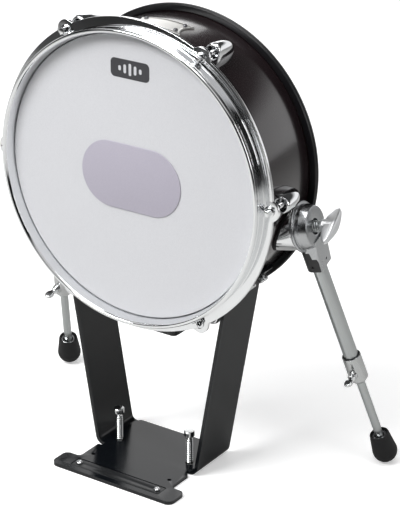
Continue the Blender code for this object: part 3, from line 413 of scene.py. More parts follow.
class Shader:
    """A material under construction: a Principled BSDF and the nodes that feed it."""

    def __init__(self, name, colour, roughness, metallic=0.0, **inputs):
        self.material = bpy.data.materials.new(name)
        self.material.use_nodes = True
        self.tree = self.material.node_tree
        self.bsdf = self.tree.nodes["Principled BSDF"]
        self.colour = colour
        self.bsdf.inputs["Base Color"].default_value = (*colour, 1)
        self.bsdf.inputs["Roughness"].default_value = roughness
        self.bsdf.inputs["Metallic"].default_value = metallic
        for key, value in inputs.items():
            self.bsdf.inputs[key.replace("_", " ").title().replace("Ior", "IOR")].default_value = value
        coordinates = self.tree.nodes.new("ShaderNodeTexCoord")
        self.place = coordinates.outputs["Object"]
        self.normal = None

    def node(self, kind, **inputs):
        made = self.tree.nodes.new(kind)
        for key, value in inputs.items():
            self.feed(made.inputs[key], value)
        return made

    def feed(self, socket, value):
        if isinstance(value, bpy.types.NodeSocket):
            self.tree.links.new(value, socket)
        else:
            socket.default_value = value

    def stretched(self, scale):
        mapping = self.node("ShaderNodeMapping", Vector=self.place)
        mapping.inputs["Scale"].default_value = scale
        return mapping.outputs["Vector"]

    def noise(self, scale, detail=4.0, roughness=0.5, vector=None, distortion=0.0):
        made = self.node("ShaderNodeTexNoise", Vector=vector or self.place, Scale=scale, Detail=detail,
                         Roughness=roughness, Distortion=distortion)
        return made.outputs["Fac"]

    def wave(self, scale, direction, vector=None, distortion=0.0, profile="SIN"):
        made = self.node("ShaderNodeTexWave", Vector=vector or self.place, Scale=scale, Distortion=distortion)
        made.bands_direction = direction
        made.wave_profile = profile
        return made.outputs["Fac"]

    def spread(self, value, low, high, start=0.0, end=1.0):
        """Maps a 0..1 value between two numbers."""
        made = self.node("ShaderNodeMapRange", Value=value)
        for key, number in (("From Min", start), ("From Max", end), ("To Min", low), ("To Max", high)):
            made.inputs[key].default_value = number
        return made.outputs["Result"]

    def maths(self, operation, first, second=0.0):
        made = self.tree.nodes.new("ShaderNodeMath")
        made.operation = operation
        self.feed(made.inputs[0], first)
        self.feed(made.inputs[1], second)
        return made.outputs[0]

    def mix(self, share, first, second):
        made = self.tree.nodes.new("ShaderNodeMix")
        made.data_type = "RGBA"
        self.feed(made.inputs[0], share)
        for socket, value in ((made.inputs[6], first), (made.inputs[7], second)):
            self.feed(socket, (*value, 1) if isinstance(value, (tuple, list)) else value)
        return made.outputs[2]

    def paint(self, value):
        self.feed(self.bsdf.inputs["Base Color"], value)
        return self

    def roughen(self, value):
        self.feed(self.bsdf.inputs["Roughness"], value)
        return self

    def bump(self, height, strength, distance=0.2 * MM):
        made = self.node("ShaderNodeBump", Height=height, Strength=strength, Distance=distance)
        if self.normal is not None:
            self.feed(made.inputs["Normal"], self.normal)
        self.normal = made.outputs["Normal"]
        self.feed(self.bsdf.inputs["Normal"], self.normal)
        return self


def chrome(name, colour=(0.86, 0.87, 0.88), low=0.05, high=0.14):
    """Bright plating: mirror-like, with faint handling smears and a slight ripple."""
    shader = Shader(name, colour, low, 1.0)
    smears = shader.noise(35, 6, 0.6, distortion=0.8)
    shader.roughen(shader.spread(smears, low, high, 0.35, 0.8))
    shader.paint(shader.mix(shader.noise(14, 3), tuple(0.94 * c for c in colour), colour))
    shader.bump(shader.noise(90, 2), 0.04, 0.3 * MM)
    return shader.material


def satin_plate(name, colour=(0.52, 0.54, 0.54), along="Z", low=0.26, high=0.4):
    """Satin plated tube, with hairlines drawn along its length."""
    shader = Shader(name, colour, low, 1.0)
    stretch = {"X": (2, 400, 400), "Y": (400, 2, 400), "Z": (400, 400, 2)}[along]
    hairs = shader.noise(2.5, 3, 0.6, shader.stretched(stretch))
    shader.roughen(shader.spread(hairs, low, high))
    shader.paint(shader.mix(hairs, tuple(0.86 * c for c in colour), tuple(1.08 * c for c in colour)))
    shader.bump(hairs, 0.06, 0.05 * MM)
    return shader.material


def gloss_black(name, colour, roughness, specular, grain=1100, strength=0.1):
    """Powder coat with a soft gloss: an orange-peel grain and faint cloudy wear."""
    shader = Shader(name, colour, roughness)
    shader.bsdf.inputs["Specular IOR Level"].default_value = specular
    cloud = shader.noise(16, 4, 0.6)
    shader.paint(shader.mix(cloud, tuple(0.8 * c for c in colour), tuple(1.3 * c for c in colour)))
    shader.roughen(shader.spread(cloud, roughness - 0.04, roughness + 0.06))
    shader.bump(shader.noise(grain, 3, 0.6), strength, 0.08 * MM)
    return shader.material


def lacquer():
    """Satin black-brown lacquer on the shell, with a very fine hairline round it."""
    shader = Shader("lacquer", (0.012, 0.007, 0.008), 0.2, coat_weight=0.8, coat_roughness=0.12)
    lines = shader.noise(3, 3, 0.6, shader.stretched((8, 900, 8)))
    cloud = shader.noise(9, 3)
    shader.paint(shader.mix(cloud, (0.010, 0.006, 0.007), (0.015, 0.009, 0.010)))
    shader.roughen(shader.spread(lines, 0.18, 0.25))
    shader.bump(lines, 0.015, 0.05 * MM)
    return shader.material


def moulded(name, colour, roughness=0.42, grain=900, strength=0.12, speck=0.15):
    """Moulded plastic or powder coat: a fine orange-peel grain with slightly varied gloss."""
    shader = Shader(name, colour, roughness)
    fine = shader.noise(grain, 3, 0.6)
    cloud = shader.noise(18, 4, 0.6)
    shader.paint(shader.mix(cloud, tuple((1 - speck) * c for c in colour), tuple((1 + speck) * c for c in colour)))
    shader.roughen(shader.spread(cloud, roughness - 0.05, roughness + 0.07))
    shader.bump(fine, strength, 0.1 * MM)
    return shader.material


def woven(name, light, gap_shade, pitch, strength, sheen=0.3, slant=0.0, roughness=0.75):
    """Cloth: two crossed sets of threads in the XY plane, with painted shade darkening the gaps between them, and
    uneven threads.
    """
    shader = Shader(name, light, roughness, sheen_weight=sheen, sheen_roughness=0.4)
    mapping = shader.node("ShaderNodeMapping", Vector=shader.place)
    mapping.inputs["Rotation"].default_value = (0, 0, slant)
    waves = 1 / pitch / 20 * 2 * math.pi
    warp = shader.wave(waves, "X", mapping.outputs["Vector"], 0.0)
    weft = shader.wave(waves, "Y", mapping.outputs["Vector"], 0.0)
    threads = shader.maths("MAXIMUM", warp, weft)
    uneven = shader.noise(500, 2)
    tone = shader.maths("MULTIPLY", threads, shader.spread(uneven, 0.75, 1.1))
    cloud = shader.spread(shader.noise(12, 3), -0.04, 0.04)
    # The gap colour is painted shade where the threads part and the bump sinks
    shader.paint(shader.mix(shader.maths("ADD", tone, cloud), gap_shade, light))
    shader.bump(threads, strength, 0.3 * MM)
    return shader


def rubber(name="black_rubber", colour=(0.006, 0.006, 0.0065)):
    shader = Shader(name, colour, 0.6)
    shader.bsdf.inputs["Specular IOR Level"].default_value = 0.35
    grain = shader.noise(700, 4, 0.7)
    shader.paint(shader.mix(shader.noise(60, 4), colour, tuple(1.9 * c for c in colour)))
    shader.roughen(shader.spread(shader.noise(120, 3), 0.52, 0.72))
    shader.bump(grain, 0.2, 0.15 * MM)
    return shader.material


def foam():
    shader = Shader("open_foam", (0.10, 0.10, 0.11), 0.95)
    cells = shader.node("ShaderNodeTexVoronoi", Vector=shader.place, Scale=900.0).outputs["Distance"]
    # Darker towards each cell's centre, where the bump sinks: painted shade in the pores
    shader.paint(shader.mix(cells, (0.05, 0.05, 0.055), (0.16, 0.16, 0.17)))
    shader.bump(cells, 0.6, 0.6 * MM)
    return shader.material


def bare_metal(name, colour, roughness=0.35):
    shader = Shader(name, colour, roughness, 1.0)
    scratches = shader.noise(4, 4, 0.6, shader.stretched((600, 30, 30)))
    shader.roughen(shader.spread(scratches, roughness - 0.08, roughness + 0.12))
    shader.paint(shader.mix(shader.noise(40, 4), tuple(0.85 * c for c in colour), colour))
    shader.bump(scratches, 0.08, 0.05 * MM)
    return shader.material


CHROME = chrome("bright_chrome")
TUBE_PLATE = satin_plate("tube_plate")
SATIN_CAST = chrome("satin_cast", (0.70, 0.71, 0.71), 0.16, 0.26)
CLAMP_CAST = chrome("clamp_cast", (0.5, 0.51, 0.52), 0.2, 0.3)
WING_CAST = chrome("wing_cast", (0.84, 0.85, 0.86), 0.38, 0.5)
COLLAR_PLATE = satin_plate("collar_plate", (0.60, 0.61, 0.61), low=0.2, high=0.3)
LACQUER = lacquer()
RIM_BLACK = gloss_black("rim_black", (0.006, 0.006, 0.007), 0.28, 0.4, 500, 0.06)
PANEL_BLACK = moulded("panel_black", (0.016, 0.016, 0.017), 0.5, 700, 0.2)
BOX_BLACK = moulded("box_black", (0.012, 0.013, 0.015), 0.45, 900, 0.15)
POWDER = gloss_black("powder_coat", (0.004, 0.005, 0.0065), 0.17, 0.42)
STRIP_BLACK = gloss_black("strip_black", (0.012, 0.013, 0.014), 0.34, 0.4, 700, 0.15)
BUSH_PLASTIC = moulded("bush_plastic", (0.035, 0.035, 0.037), 0.5, 900, 0.12)
RUBBER = rubber()
FOAM = foam()
BRASS = bare_metal("disc_brass", (0.72, 0.53, 0.24), 0.3)
ALUMINIUM = bare_metal("milled_aluminium", (0.70, 0.71, 0.72), 0.35)
RIVET_STEEL = bare_metal("rivet_steel", (0.14, 0.14, 0.15), 0.35)
BADGE_STEEL = bare_metal("badge_steel", (0.82, 0.81, 0.78), 0.34)
MESH = woven("head_mesh", (0.74, 0.745, 0.77), (0.50, 0.505, 0.53), 0.8 * MM, 0.35)
PATCH = woven("patch_weave", (0.50, 0.475, 0.55), (0.34, 0.32, 0.39), 1.0 * MM, 0.4, slant=math.radians(45))
PRINT = moulded("print_ink", (0.045, 0.045, 0.05), 0.55, 900, 0.1)


# ---------------------------------------------------------------- drum


def build_shell():
    inner = SHELL_RADIUS - SHELL_WALL
    profile = [(inner, SHELL_FRONT + 3 * MM), (SHELL_RADIUS - 2.4 * MM, SHELL_FRONT), (SHELL_RADIUS, SHELL_FRONT + 2 * MM),
               (SHELL_RADIUS, SHELL_REAR), (inner, SHELL_REAR)]
    shell = add("shell_lacquered", turned("shell", profile, 0.6 * MM, RING_STEPS, ring=True), drum_matrix())
    show(shell, LACQUER, "shell")


def build_back():
    low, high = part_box("rear_hoop")
    radius = high.x
    front, rear = low.y, high.y
    seat = SHELL_RADIUS + GAP
    lip = 140 * MM
    profile = [(seat, front), (radius - 0.8 * MM, front), (radius, front + 1.2 * MM), (radius - 1.1 * MM, front + 2.6 * MM),
               (radius - 1.1 * MM, front + 3.4 * MM), (radius - 0.2 * MM, front + 4.2 * MM), (radius - 0.6 * MM, rear),
               (lip, rear), (lip, SHELL_REAR + GAP), (seat, SHELL_REAR + GAP)]
    rim = add("rear_rim", turned("rear_rim", profile, 0.5 * MM, RING_STEPS, ring=True), drum_matrix())
    show(rim, RIM_BLACK, "rear_hoop")
    low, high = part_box("rear_panel")
    edge = high.x
    profile = [(0, low.y), (edge, low.y), (edge, high.y), (edge - 6 * MM, high.y), (edge - 8 * MM, high.y - 1 * MM),
               (edge - 20 * MM, high.y - 1 * MM), (edge - 22 * MM, high.y), (0, high.y)]
    panel = add("rear_cover", turned("rear_cover", profile, 0.5 * MM, RING_STEPS), drum_matrix())
    show(panel, PANEL_BLACK, "rear_panel")


def flange_reach(angle, ears):
    """The flange's outline: a circle with an ear swelling out at each tension rod."""
    reach = FLANGE_RADIUS
    for ear in ears:
        turn = (angle - ear + math.pi) % (2 * math.pi) - math.pi
        across = ROD_CIRCLE * math.sin(turn)
        if abs(turn) < 0.2 and abs(across) < EAR_RADIUS:
            tip = ROD_CIRCLE * math.cos(turn) + math.sqrt(EAR_RADIUS ** 2 - across ** 2)
            soft = 1.6 * MM
            gap = tip - reach
            reach = max(reach, tip) + soft * max(0, 1 - abs(gap) / (2 * soft)) ** 2 / 2
    return reach


def build_hoop():
    rods = [rod_matrix(n) for n in range(1, 7)]
    ears = [math.atan2(-m.translation.z + AXIS_HEIGHT, m.translation.x) for m in rods]
    angles = []
    step = 0.0
    while step < 2 * math.pi - 1e-6:
        angles.append(step)
        near = min(abs((step - ear + math.pi) % (2 * math.pi) - math.pi) for ear in ears)
        step += math.radians(0.25 if near < math.radians(5.5) else 1.25)
    seat = SHELL_RADIUS + 1.4 * GAP + HEAD_SKIN + 2 * GAP
    front, rear = FLANGE_DEPTHS
    wall = HOOP_WALL
    inner_flange = wall - 1.6 * MM
    profile = [(seat, 0.7 * MM), (seat + 0.4 * MM, -4 * MM), (156 * MM, HOOP_FRONT + 2.2 * MM), (157.4 * MM, HOOP_FRONT),
               (160 * MM, HOOP_FRONT), (161 * MM, HOOP_FRONT + 1.4 * MM), (160.9 * MM, HOOP_FRONT + 3.2 * MM),
               (wall, HOOP_FRONT + 4.6 * MM), (wall, -8.6 * MM), (wall - 0.7 * MM, -8 * MM), (wall, -7.4 * MM),
               (wall, front), (None, front), (None, rear), (inner_flange, rear), (inner_flange, 0.7 * MM)]
    marked = [(FLANGE_RADIUS if r is None else r, y) for r, y in profile]
    rounded = soften(marked, [0.3 * MM, 0.6 * MM, 1 * MM, 1.2 * MM, 1.2 * MM, 1 * MM, 1 * MM, 0.8 * MM, 0.3 * MM,
                              0.3 * MM, 0.3 * MM, 1.2 * MM, 0.5 * MM, 0.5 * MM, 0.3 * MM, 0.3 * MM], 4)
    rings = []
    for angle in angles:
        swell = flange_reach(angle, ears) - FLANGE_RADIUS
        ring = []
        for radius, depth in rounded:
            grown = radius + swell * max(0, (radius - 163 * MM) / (FLANGE_RADIUS - 163 * MM))
            ring.append((grown * math.cos(angle), grown * math.sin(angle), depth))
        rings.append(ring)
    hoop = add("hoop_chromed", loft("hoop", rings, loop=True), drum_matrix())
    hole = rod("hole", ROD_RADIUS + 0.6 * MM, -10 * MM, 10 * MM, 0, 32)
    carve(hoop, "DIFFERENCE", *[(hole, m) for m in rods])
    hoop.data.shade_smooth()
    hoop.data.set_sharp_from_angle(angle=math.radians(35))
    show(hoop, CHROME, "batter_hoop")


def build_head():
    inner = SHELL_RADIUS + 1.4 * GAP
    outer = inner + HEAD_SKIN
    face = SHELL_FRONT - GAP
    front = face - HEAD_SKIN
    rows = 40
    profile = [((outer - 1.2 * MM) * i / rows, front) for i in range(rows + 1)]
    profile += [(outer - 0.5 * MM, front + 0.15 * MM), (outer - 0.1 * MM, front + 0.6 * MM), (outer, front + 1.2 * MM),
                (outer, HEAD_COLLAR), (inner, HEAD_COLLAR), (inner, face + 0.9 * MM), (inner - 1.2 * MM, face), (0, face)]
    head = add("head_mesh", lathe("head", profile, RING_STEPS), drum_matrix())
    show(head, MESH.material, "mesh_head")
    low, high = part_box("head_flesh_hoop")
    ring = [(outer + GAP, low.y), (outer + GAP, high.y), (high.x, high.y), (high.x, low.y)]
    hoop = add("flesh_hoop", turned("flesh_hoop", ring, 0.8 * MM, RING_STEPS, ring=True), drum_matrix())
    show(hoop, ALUMINIUM, "head_flesh_hoop")


def stadium(half_length, half_height, steps=24):
    corners = [(-half_length, -half_height), (half_length, -half_height), (half_length, half_height),
               (-half_length, half_height)]
    made = []
    for i, (x, y) in enumerate(corners):
        centre = (x - math.copysign(half_height, x), 0)
        start = math.radians((180, 270, 0, 90)[i])
        for k in range(steps + (i % 2)):
            turn = start + math.radians(90) * k / steps
            made.append((centre[0] + half_height * math.cos(turn), half_height * math.sin(turn)))
    return made


def domed(name, outline, low, high, edge):
    """A flat pad with a soft edge: rings of the outline drawn in as they rise, from low to high."""
    centre = Vector((0, 0))
    rings = []
    for k in range(5):
        turn = math.radians(90) * k / 4
        shrink = edge * (1 - math.cos(turn))
        height = low + (high - low) * math.sin(turn)
        ring = []
        for x, y in outline:
            spot = Vector((x, y))
            ring.append((*(spot - (spot - centre).normalized() * shrink), height))
        rings.append(ring)
    return loft(name, rings)


def build_patch():
    low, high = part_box("impact_patch")
    pad = domed("patch", stadium(PATCH_SIZE[0] / 2, PATCH_SIZE[1] / 2), high.y, low.y, 0.6 * MM)
    patch = add("patch_fabric", pad, drum_matrix())
    show(patch, PATCH.material, "impact_patch")


def build_print():
    """A plain printed device near the head's top: a rounded frame holding five upright bars. It has no lettering."""
    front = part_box("mesh_head")[0].y
    depth = (front - 0.12 * MM, front - 0.02 * MM)
    middle = 117 * MM
    shapes = []
    outer = soften([(-24 * MM, -10 * MM), (24 * MM, -10 * MM), (24 * MM, 10 * MM), (-24 * MM, 10 * MM)], 5 * MM, 8)
    shapes.append([Vector((x, y + middle)) for x, y in outer])
    plate = add("head_print", prism("print", [(x, -y) for x, y in shapes[0]], *depth), drum_matrix())
    bars = []
    for i in range(5):
        height = (5.5, 9.5, 13, 9.5, 5.5)[i] * MM
        x = (i - 2) * 6.4 * MM
        half = 1.7 * MM
        bar = soften([(x - half, middle - height / 2), (x + half, middle - height / 2), (x + half, middle + height / 2),
                      (x - half, middle + height / 2)], half, 5)
        bars.append((prism("bar", [(px, -py) for px, py in bar], depth[0] - 1 * MM, depth[1] + 1 * MM), drum_matrix()))
    carve(plate, "DIFFERENCE", *bars)
    plate.data.materials.append(PRINT)
    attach(plate, BODY_OF["mesh_head"])


def lug_mesh():
    """A bullet casing on the shell: an arch that tapers to a rounded tip."""
    arch = 28
    rows = 30
    rings = []
    for i in range(rows + 1):
        along = (i / rows) ** 0.9
        taper = math.sqrt(max(0.0, 1 - (0.985 * along) ** 2.3))
        front_edge = 1 - 0.08 * max(0.0, 1 - i / 2) ** 2
        ring = []
        for k in range(arch + 1):
            turn = math.pi * k / arch
            x = LUG_HALF_WIDTH * taper * front_edge * math.cos(turn)
            z = LUG_HEIGHT * taper * front_edge * math.sin(turn) ** 0.72
            ring.append((x, along * LUG_LENGTH, z))
        for k in range(1, 6):
            x = LUG_HALF_WIDTH * taper * front_edge * (-1 + 2 * k / 6)
            ring.append((x, along * LUG_LENGTH, 0.0))
        rings.append(ring)
    return loft("lug", rings)


def build_lugs():
    casing = lug_mesh()
    height = ROD_CIRCLE - SHELL_RADIUS - 1.5 * GAP
    front = Matrix.Translation((0, 0, height)) @ Matrix.Rotation(math.radians(-90), 4, "X")
    mouth = turned("mouth", [(0, -5 * MM), (LUG_MOUTH, -5 * MM), (LUG_MOUTH, 11 * MM), (ROD_RADIUS + 0.4 * MM, 13 * MM),
                             (ROD_RADIUS + 0.4 * MM, 26 * MM), (0, 26 * MM)], 0.4 * MM, 40)
    blank = add("lug_blank", casing)
    carve(blank, "DIFFERENCE", (mouth, front))
    bore = ROD_RADIUS + 0.4 * MM
    lip = [(LUG_MOUTH - 1 * MM, 0.3 * MM), (LUG_MOUTH + 0.3 * MM, -0.4 * MM), (LUG_MOUTH + 1.5 * MM, 0.3 * MM),
           (LUG_MOUTH + 1.2 * MM, 2 * MM), (LUG_MOUTH - 0.8 * MM, 2 * MM)]
    nut = [(bore, 6 * MM), (5.2 * MM, 6 * MM), (5.6 * MM, 7 * MM), (5.6 * MM, 12 * MM), (6 * MM, 14 * MM), (bore, 14 * MM)]
    carve(blank, "UNION", (turned("lip", lip, 0.4 * MM, 40, ring=True), front),
          (turned("nut", nut, 0.3 * MM, 32, ring=True), front))
    mesh = blank.data
    bpy.data.objects.remove(blank)
    for number in range(1, 7):
        place = rod_matrix(number).translation - Vector((0, 0, AXIS_HEIGHT))
        angle = math.atan2(place.z, place.x)
        lug = add(f"lug_casing_{number}", mesh.copy(), station(angle, SHELL_RADIUS + 1.5 * GAP, LUG_FRONT))
        show(lug, CHROME, f"lug_{number}")


def build_rods():
    half = 3.15 * MM
    washer_top = FLANGE_DEPTHS[0] - 0.2 * MM - GAP
    head = add("head_blank", box("head", (-half, -half, -7 * MM), (half, half, -0.4 * MM)))
    bevel(head, 0.7 * MM, 3)
    washer = [(0, -1.1 * MM), (4.6 * MM, -1.1 * MM), (5.8 * MM, -0.3 * MM), (5.8 * MM, washer_top), (ROD_RADIUS, washer_top),
              (ROD_RADIUS - 0.3 * MM, 17.5 * MM), (0, 17.5 * MM)]
    carve(head, "UNION", (turned("washer", washer, 0.4 * MM, 40), Matrix.Identity(4)),
          (thread("rod_thread", 2.35 * MM, 2.78 * MM, 1.0 * MM, 16.5 * MM, 46 * MM, 20), Matrix.Identity(4)))
    mesh = head.data
    bpy.data.objects.remove(head)
    for number in range(1, 7):
        piece = add(f"key_rod_{number}", mesh.copy(), rod_matrix(number))
        show(piece, CHROME, f"tension_rod_{number}")


def build_badge():
    """A blank plate bent to the shell, hollowed at its short ends, with a raised border and four rivets."""
    low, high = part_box("badge_plate")
    half = high.x
    depths = (low.y, high.y)
    base = SHELL_RADIUS + GAP
    steps = 36
    border = 2.2 * MM
    rows = [0, 0.02, 0.06, 0.08, 0.1] + [0.1 + 0.8 * i / 10 for i in range(1, 10)] + [0.9, 0.92, 0.94, 0.98, 1]

    def spot(across, along, radius):
        depth = depths[0] + (depths[1] - depths[0]) * across
        reach = half - 5 * MM * math.sin(math.pi * across)
        angle = math.pi / 2 - (2 * along - 1) * reach / SHELL_RADIUS
        return Vector((radius * math.cos(angle), depth, AXIS_HEIGHT + radius * math.sin(angle)))

    columns = [0, 0.008, 0.03, 0.045] + [0.045 + 0.91 * i / steps for i in range(1, steps)] + [0.955, 0.97, 0.992, 1]
    vertices, faces = [], []
    for across in rows:
        for along in columns:
            edge = min(across, 1 - across) * (depths[1] - depths[0])
            end = min(along, 1 - along) * 2 * half
            near = min(edge, end)
            rise = 1.2 * MM - (0.35 * MM if near > border else 0) - 0.25 * MM * max(0, 1 - near / (0.4 * MM))
            vertices.append(spot(across, along, base + rise))
            vertices.append(spot(across, along, base))
    row = 2 * len(columns)
    for i in range(len(rows) - 1):
        for k in range(len(columns) - 1):
            a = i * row + 2 * k
            faces.append([a, a + 2, a + row + 2, a + row])
            faces.append([a + 1, a + 3, a + row + 3, a + row + 1])
        for a in (i * row, i * row + row - 2):
            faces.append([a, a + 1, a + row + 1, a + row])
    for k in range(len(columns) - 1):
        for a in (2 * k, (len(rows) - 1) * row + 2 * k):
            faces.append([a, a + 2, a + 3, a + 1])
    badge = add("badge_blank", mesh_from("badge", vertices, faces))
    dome = [(0, 0.3 * MM), (2.3 * MM, 0.3 * MM), (2.3 * MM, 1.6 * MM), (1.5 * MM, 2.6 * MM), (0, 2.9 * MM)]
    show(badge, BADGE_STEEL, "badge_plate")
    for x, end in ((-24 * MM, "left"), (24 * MM, "right")):
        for depth, row in ((depths[0] + 6 * MM, "front"), (depths[1] - 4.5 * MM, "rear")):
            place = station(math.pi / 2 - x / SHELL_RADIUS, base, depth)
            rivet = add(f"badge_rivet_{end}_{row}", turned("rivet", dome, 0.5 * MM, 24), place)
            show(rivet, RIVET_STEEL, "badge_plate")


# ---------------------------------------------------------------- stand


def arm_path():
    """Centre line of the right half of the bent sheet, in XZ."""
    half = SHEET / 2
    lean = Vector((math.sin(ARM_LEAN), math.cos(ARM_LEAN)))
    normal = Vector((math.cos(ARM_LEAN), -math.sin(ARM_LEAN)))
    offset = ARM_FOOT_X * math.cos(ARM_LEAN) - half
    foot = Vector(((offset + half * math.sin(ARM_LEAN)) / math.cos(ARM_LEAN), half))
    out = Vector((math.cos(TAB_ANGLE), math.sin(TAB_ANGLE)))
    along = Vector((-math.sin(TAB_ANGLE), math.cos(TAB_ANGLE)))
    tab = Vector((0, AXIS_HEIGHT)) + out * (SHELL_RADIUS + GAP + half)
    corner = tab + along * (offset - tab.dot(normal)) / along.dot(normal)
    assert (corner - foot).dot(lean) > 0
    return soften([(0, half), foot, corner, tab + along * TAB_LENGTH], [0, 9 * MM, 7 * MM, 0], 10, closed=False)


def sheet_mesh(path, thickness, depths):
    rings = []
    for i, point in enumerate(path):
        before = (point - path[i - 1]).normalized() if i else None
        after = (path[i + 1] - point).normalized() if i < len(path) - 1 else None
        direction = ((before or after) + (after or before)).normalized()
        widen = 1 / direction.dot(after or before)
        normal = Vector((-direction.y, direction.x)) * thickness / 2 * widen
        upper, lower = point + normal, point - normal
        rings.append([(upper.x, depths[0], upper.y), (upper.x, depths[1], upper.y), (lower.x, depths[1], lower.y),
                      (lower.x, depths[0], lower.y)])
    return loft("sheet", rings)


def foot_outline():
    neck = TONGUE_HALF_WIDTH - 5 * MM
    right = [(neck, BASE_REAR), (neck, TONGUE_REAR), (TONGUE_HALF_WIDTH, TONGUE_REAR), (TONGUE_HALF_WIDTH, BAR_DEPTHS[1]),
             (BAR_HALF_LENGTH, BAR_DEPTHS[1]), (BAR_HALF_LENGTH, BAR_DEPTHS[0])]
    radii = [3 * MM, 1 * MM, 2 * MM, 5 * MM, 7 * MM, 8 * MM]
    left = [(-x, y) for x, y in reversed(right)]
    return soften(right + left, radii + radii[::-1], 8)


def build_stand():
    right = arm_path()
    path = [Vector((-p.x, p.y)) for p in reversed(right[1:])] + right[1:]
    stand = add("stand_sheet", sheet_mesh(path, SHEET, ARM_DEPTHS))
    carve(stand, "UNION", (prism("foot_plate", foot_outline(), 0, SHEET), Matrix.Identity(4)))
    reach = RECESS_HALF_LENGTH
    corners = [(-reach, RECESS_DEPTHS[0]), (reach, RECESS_DEPTHS[0]), (reach, RECESS_DEPTHS[1]), (-reach, RECESS_DEPTHS[1])]
    tools = [(prism("recess", soften(corners, 2 * MM, 6), RECESS_FLOOR, 2 * SHEET), Matrix.Identity(4))]
    for side in SIDES.values():
        for radius, x, y in ((ANCHOR_RADIUS + 0.4 * MM, ANCHOR_PLACE[0], ANCHOR_PLACE[1]), (2.4 * MM, 51 * MM, -8 * MM),
                             (1.8 * MM, 52 * MM, -32.5 * MM)):
            tools.append((rod("hole", radius, -SHEET, 2 * SHEET, 0, 32), Matrix.Translation((side * x, y, 0))))
    for angle in (TAB_ANGLE, math.pi - TAB_ANGLE):
        for depth in BOLT_DEPTHS:
            tools.append((rod("tab_hole", 3.4 * MM, -2 * MM, 12 * MM, 0, 24), station(angle, SHELL_RADIUS, depth)))
    carve(stand, "DIFFERENCE", *tools)
    bevel(stand, 0.55 * MM, 3, 50)
    show(stand, POWDER, "stand_frame")


def build_pedal_plate():
    low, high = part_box("pedal_plate")
    outline = soften([(low.x, low.y), (high.x, low.y), (high.x, high.y), (low.x, high.y)], 1.6 * MM, 6)
    plate = add("pedal_strip", prism("pedal_strip", outline, low.z, high.z))
    holes = [(rod("hole", 1.8 * MM, 0, 2 * SHEET, 0, 24), Matrix.Translation((side * 52 * MM, -32.5 * MM, 0)))
             for side in SIDES.values()]
    carve(plate, "DIFFERENCE", *holes)
    bevel(plate, 0.25 * MM, 2, 50)
    show(plate, STRIP_BLACK, "pedal_plate")
    for name, side in SIDES.items():
        top = high.z + GAP
        profile = [(0, 0.4 * MM), (1.4 * MM, 0.4 * MM), (1.4 * MM, top), (3.6 * MM, top), (3.4 * MM, top + 1.2 * MM),
                   (2.2 * MM, top + 2.1 * MM), (0, top + 2.2 * MM)]
        screw = add(f"strip_screw_{name}", turned("strip_screw", profile, 0.3 * MM, 32),
                    Matrix.Translation((side * 52 * MM, -32.5 * MM, 0)))
        slots = [(box("slot", (-1.6 * MM, -0.3 * MM, top + 1.5 * MM), (1.6 * MM, 0.3 * MM, top + 4 * MM)),
                  screw.matrix_world @ Matrix.Rotation(math.radians(turn), 4, "Z")) for turn in (20, 110)]
        carve(screw, "DIFFERENCE", *slots)
        show(screw, CHROME, f"pedal_plate_screw_{name}")


def build_frame_bolts():
    for name, angle in (("right", TAB_ANGLE), ("left", math.pi - TAB_ANGLE)):
        for place, depth in zip(("front", "rear"), BOLT_DEPTHS):
            top = GAP + SHEET
            profile = [(0, -11 * MM), (3 * MM, -11 * MM), (3 * MM, top + GAP), (5.6 * MM, top + GAP), (5.6 * MM, top + 5.4 * MM),
                       (4.7 * MM, top + 6.5 * MM), (0, top + 6.5 * MM)]
            matrix = station(angle, SHELL_RADIUS, depth)
            bolt = add(f"tab_bolt_{name}_{place}", turned("tab_bolt", profile, 0.5 * MM, 40), matrix)
            hexagon = [(2.6 * MM * math.cos(math.radians(60 * k)), 2.6 * MM * math.sin(math.radians(60 * k))) for k in range(6)]
            carve(bolt, "DIFFERENCE", (prism("socket", hexagon, top + 3.6 * MM, top + 9 * MM), matrix))
            show(bolt, SATIN_CAST, f"frame_bolt_{name}_{place}")


def build_anchor_bolts():
    for name, side in SIDES.items():
        shaft_top = ANCHOR_TOP - 6 * MM
        profile = [(0, shaft_top - 3 * MM), (ANCHOR_RADIUS - 0.9 * MM, shaft_top - 3 * MM), (ANCHOR_RADIUS - 0.9 * MM, shaft_top),
                   (5.9 * MM, shaft_top), (5.9 * MM, ANCHOR_TOP - 0.7 * MM), (5.2 * MM, ANCHOR_TOP), (0, ANCHOR_TOP)]
        matrix = Matrix.Translation((side * ANCHOR_PLACE[0], ANCHOR_PLACE[1], 0))
        bolt = add(f"anchor_screw_{name}", turned("anchor_head", profile, 0.5 * MM, 40), matrix)
        shaft = thread("anchor_thread", ANCHOR_RADIUS - 1.3 * MM, ANCHOR_RADIUS + 0.2 * MM, ANCHOR_PITCH, 0.6 * MM, shaft_top - 0.5 * MM,
                       32, 5 * MM, 0.35)
        carve(bolt, "UNION", (shaft, matrix))
        show(bolt, SATIN_CAST, f"anchor_bolt_{name}")


# ---------------------------------------------------------------- spurs


def smooth_again(obj, angle=35):
    obj.data.shade_smooth()
    obj.data.set_sharp_from_angle(angle=math.radians(angle))


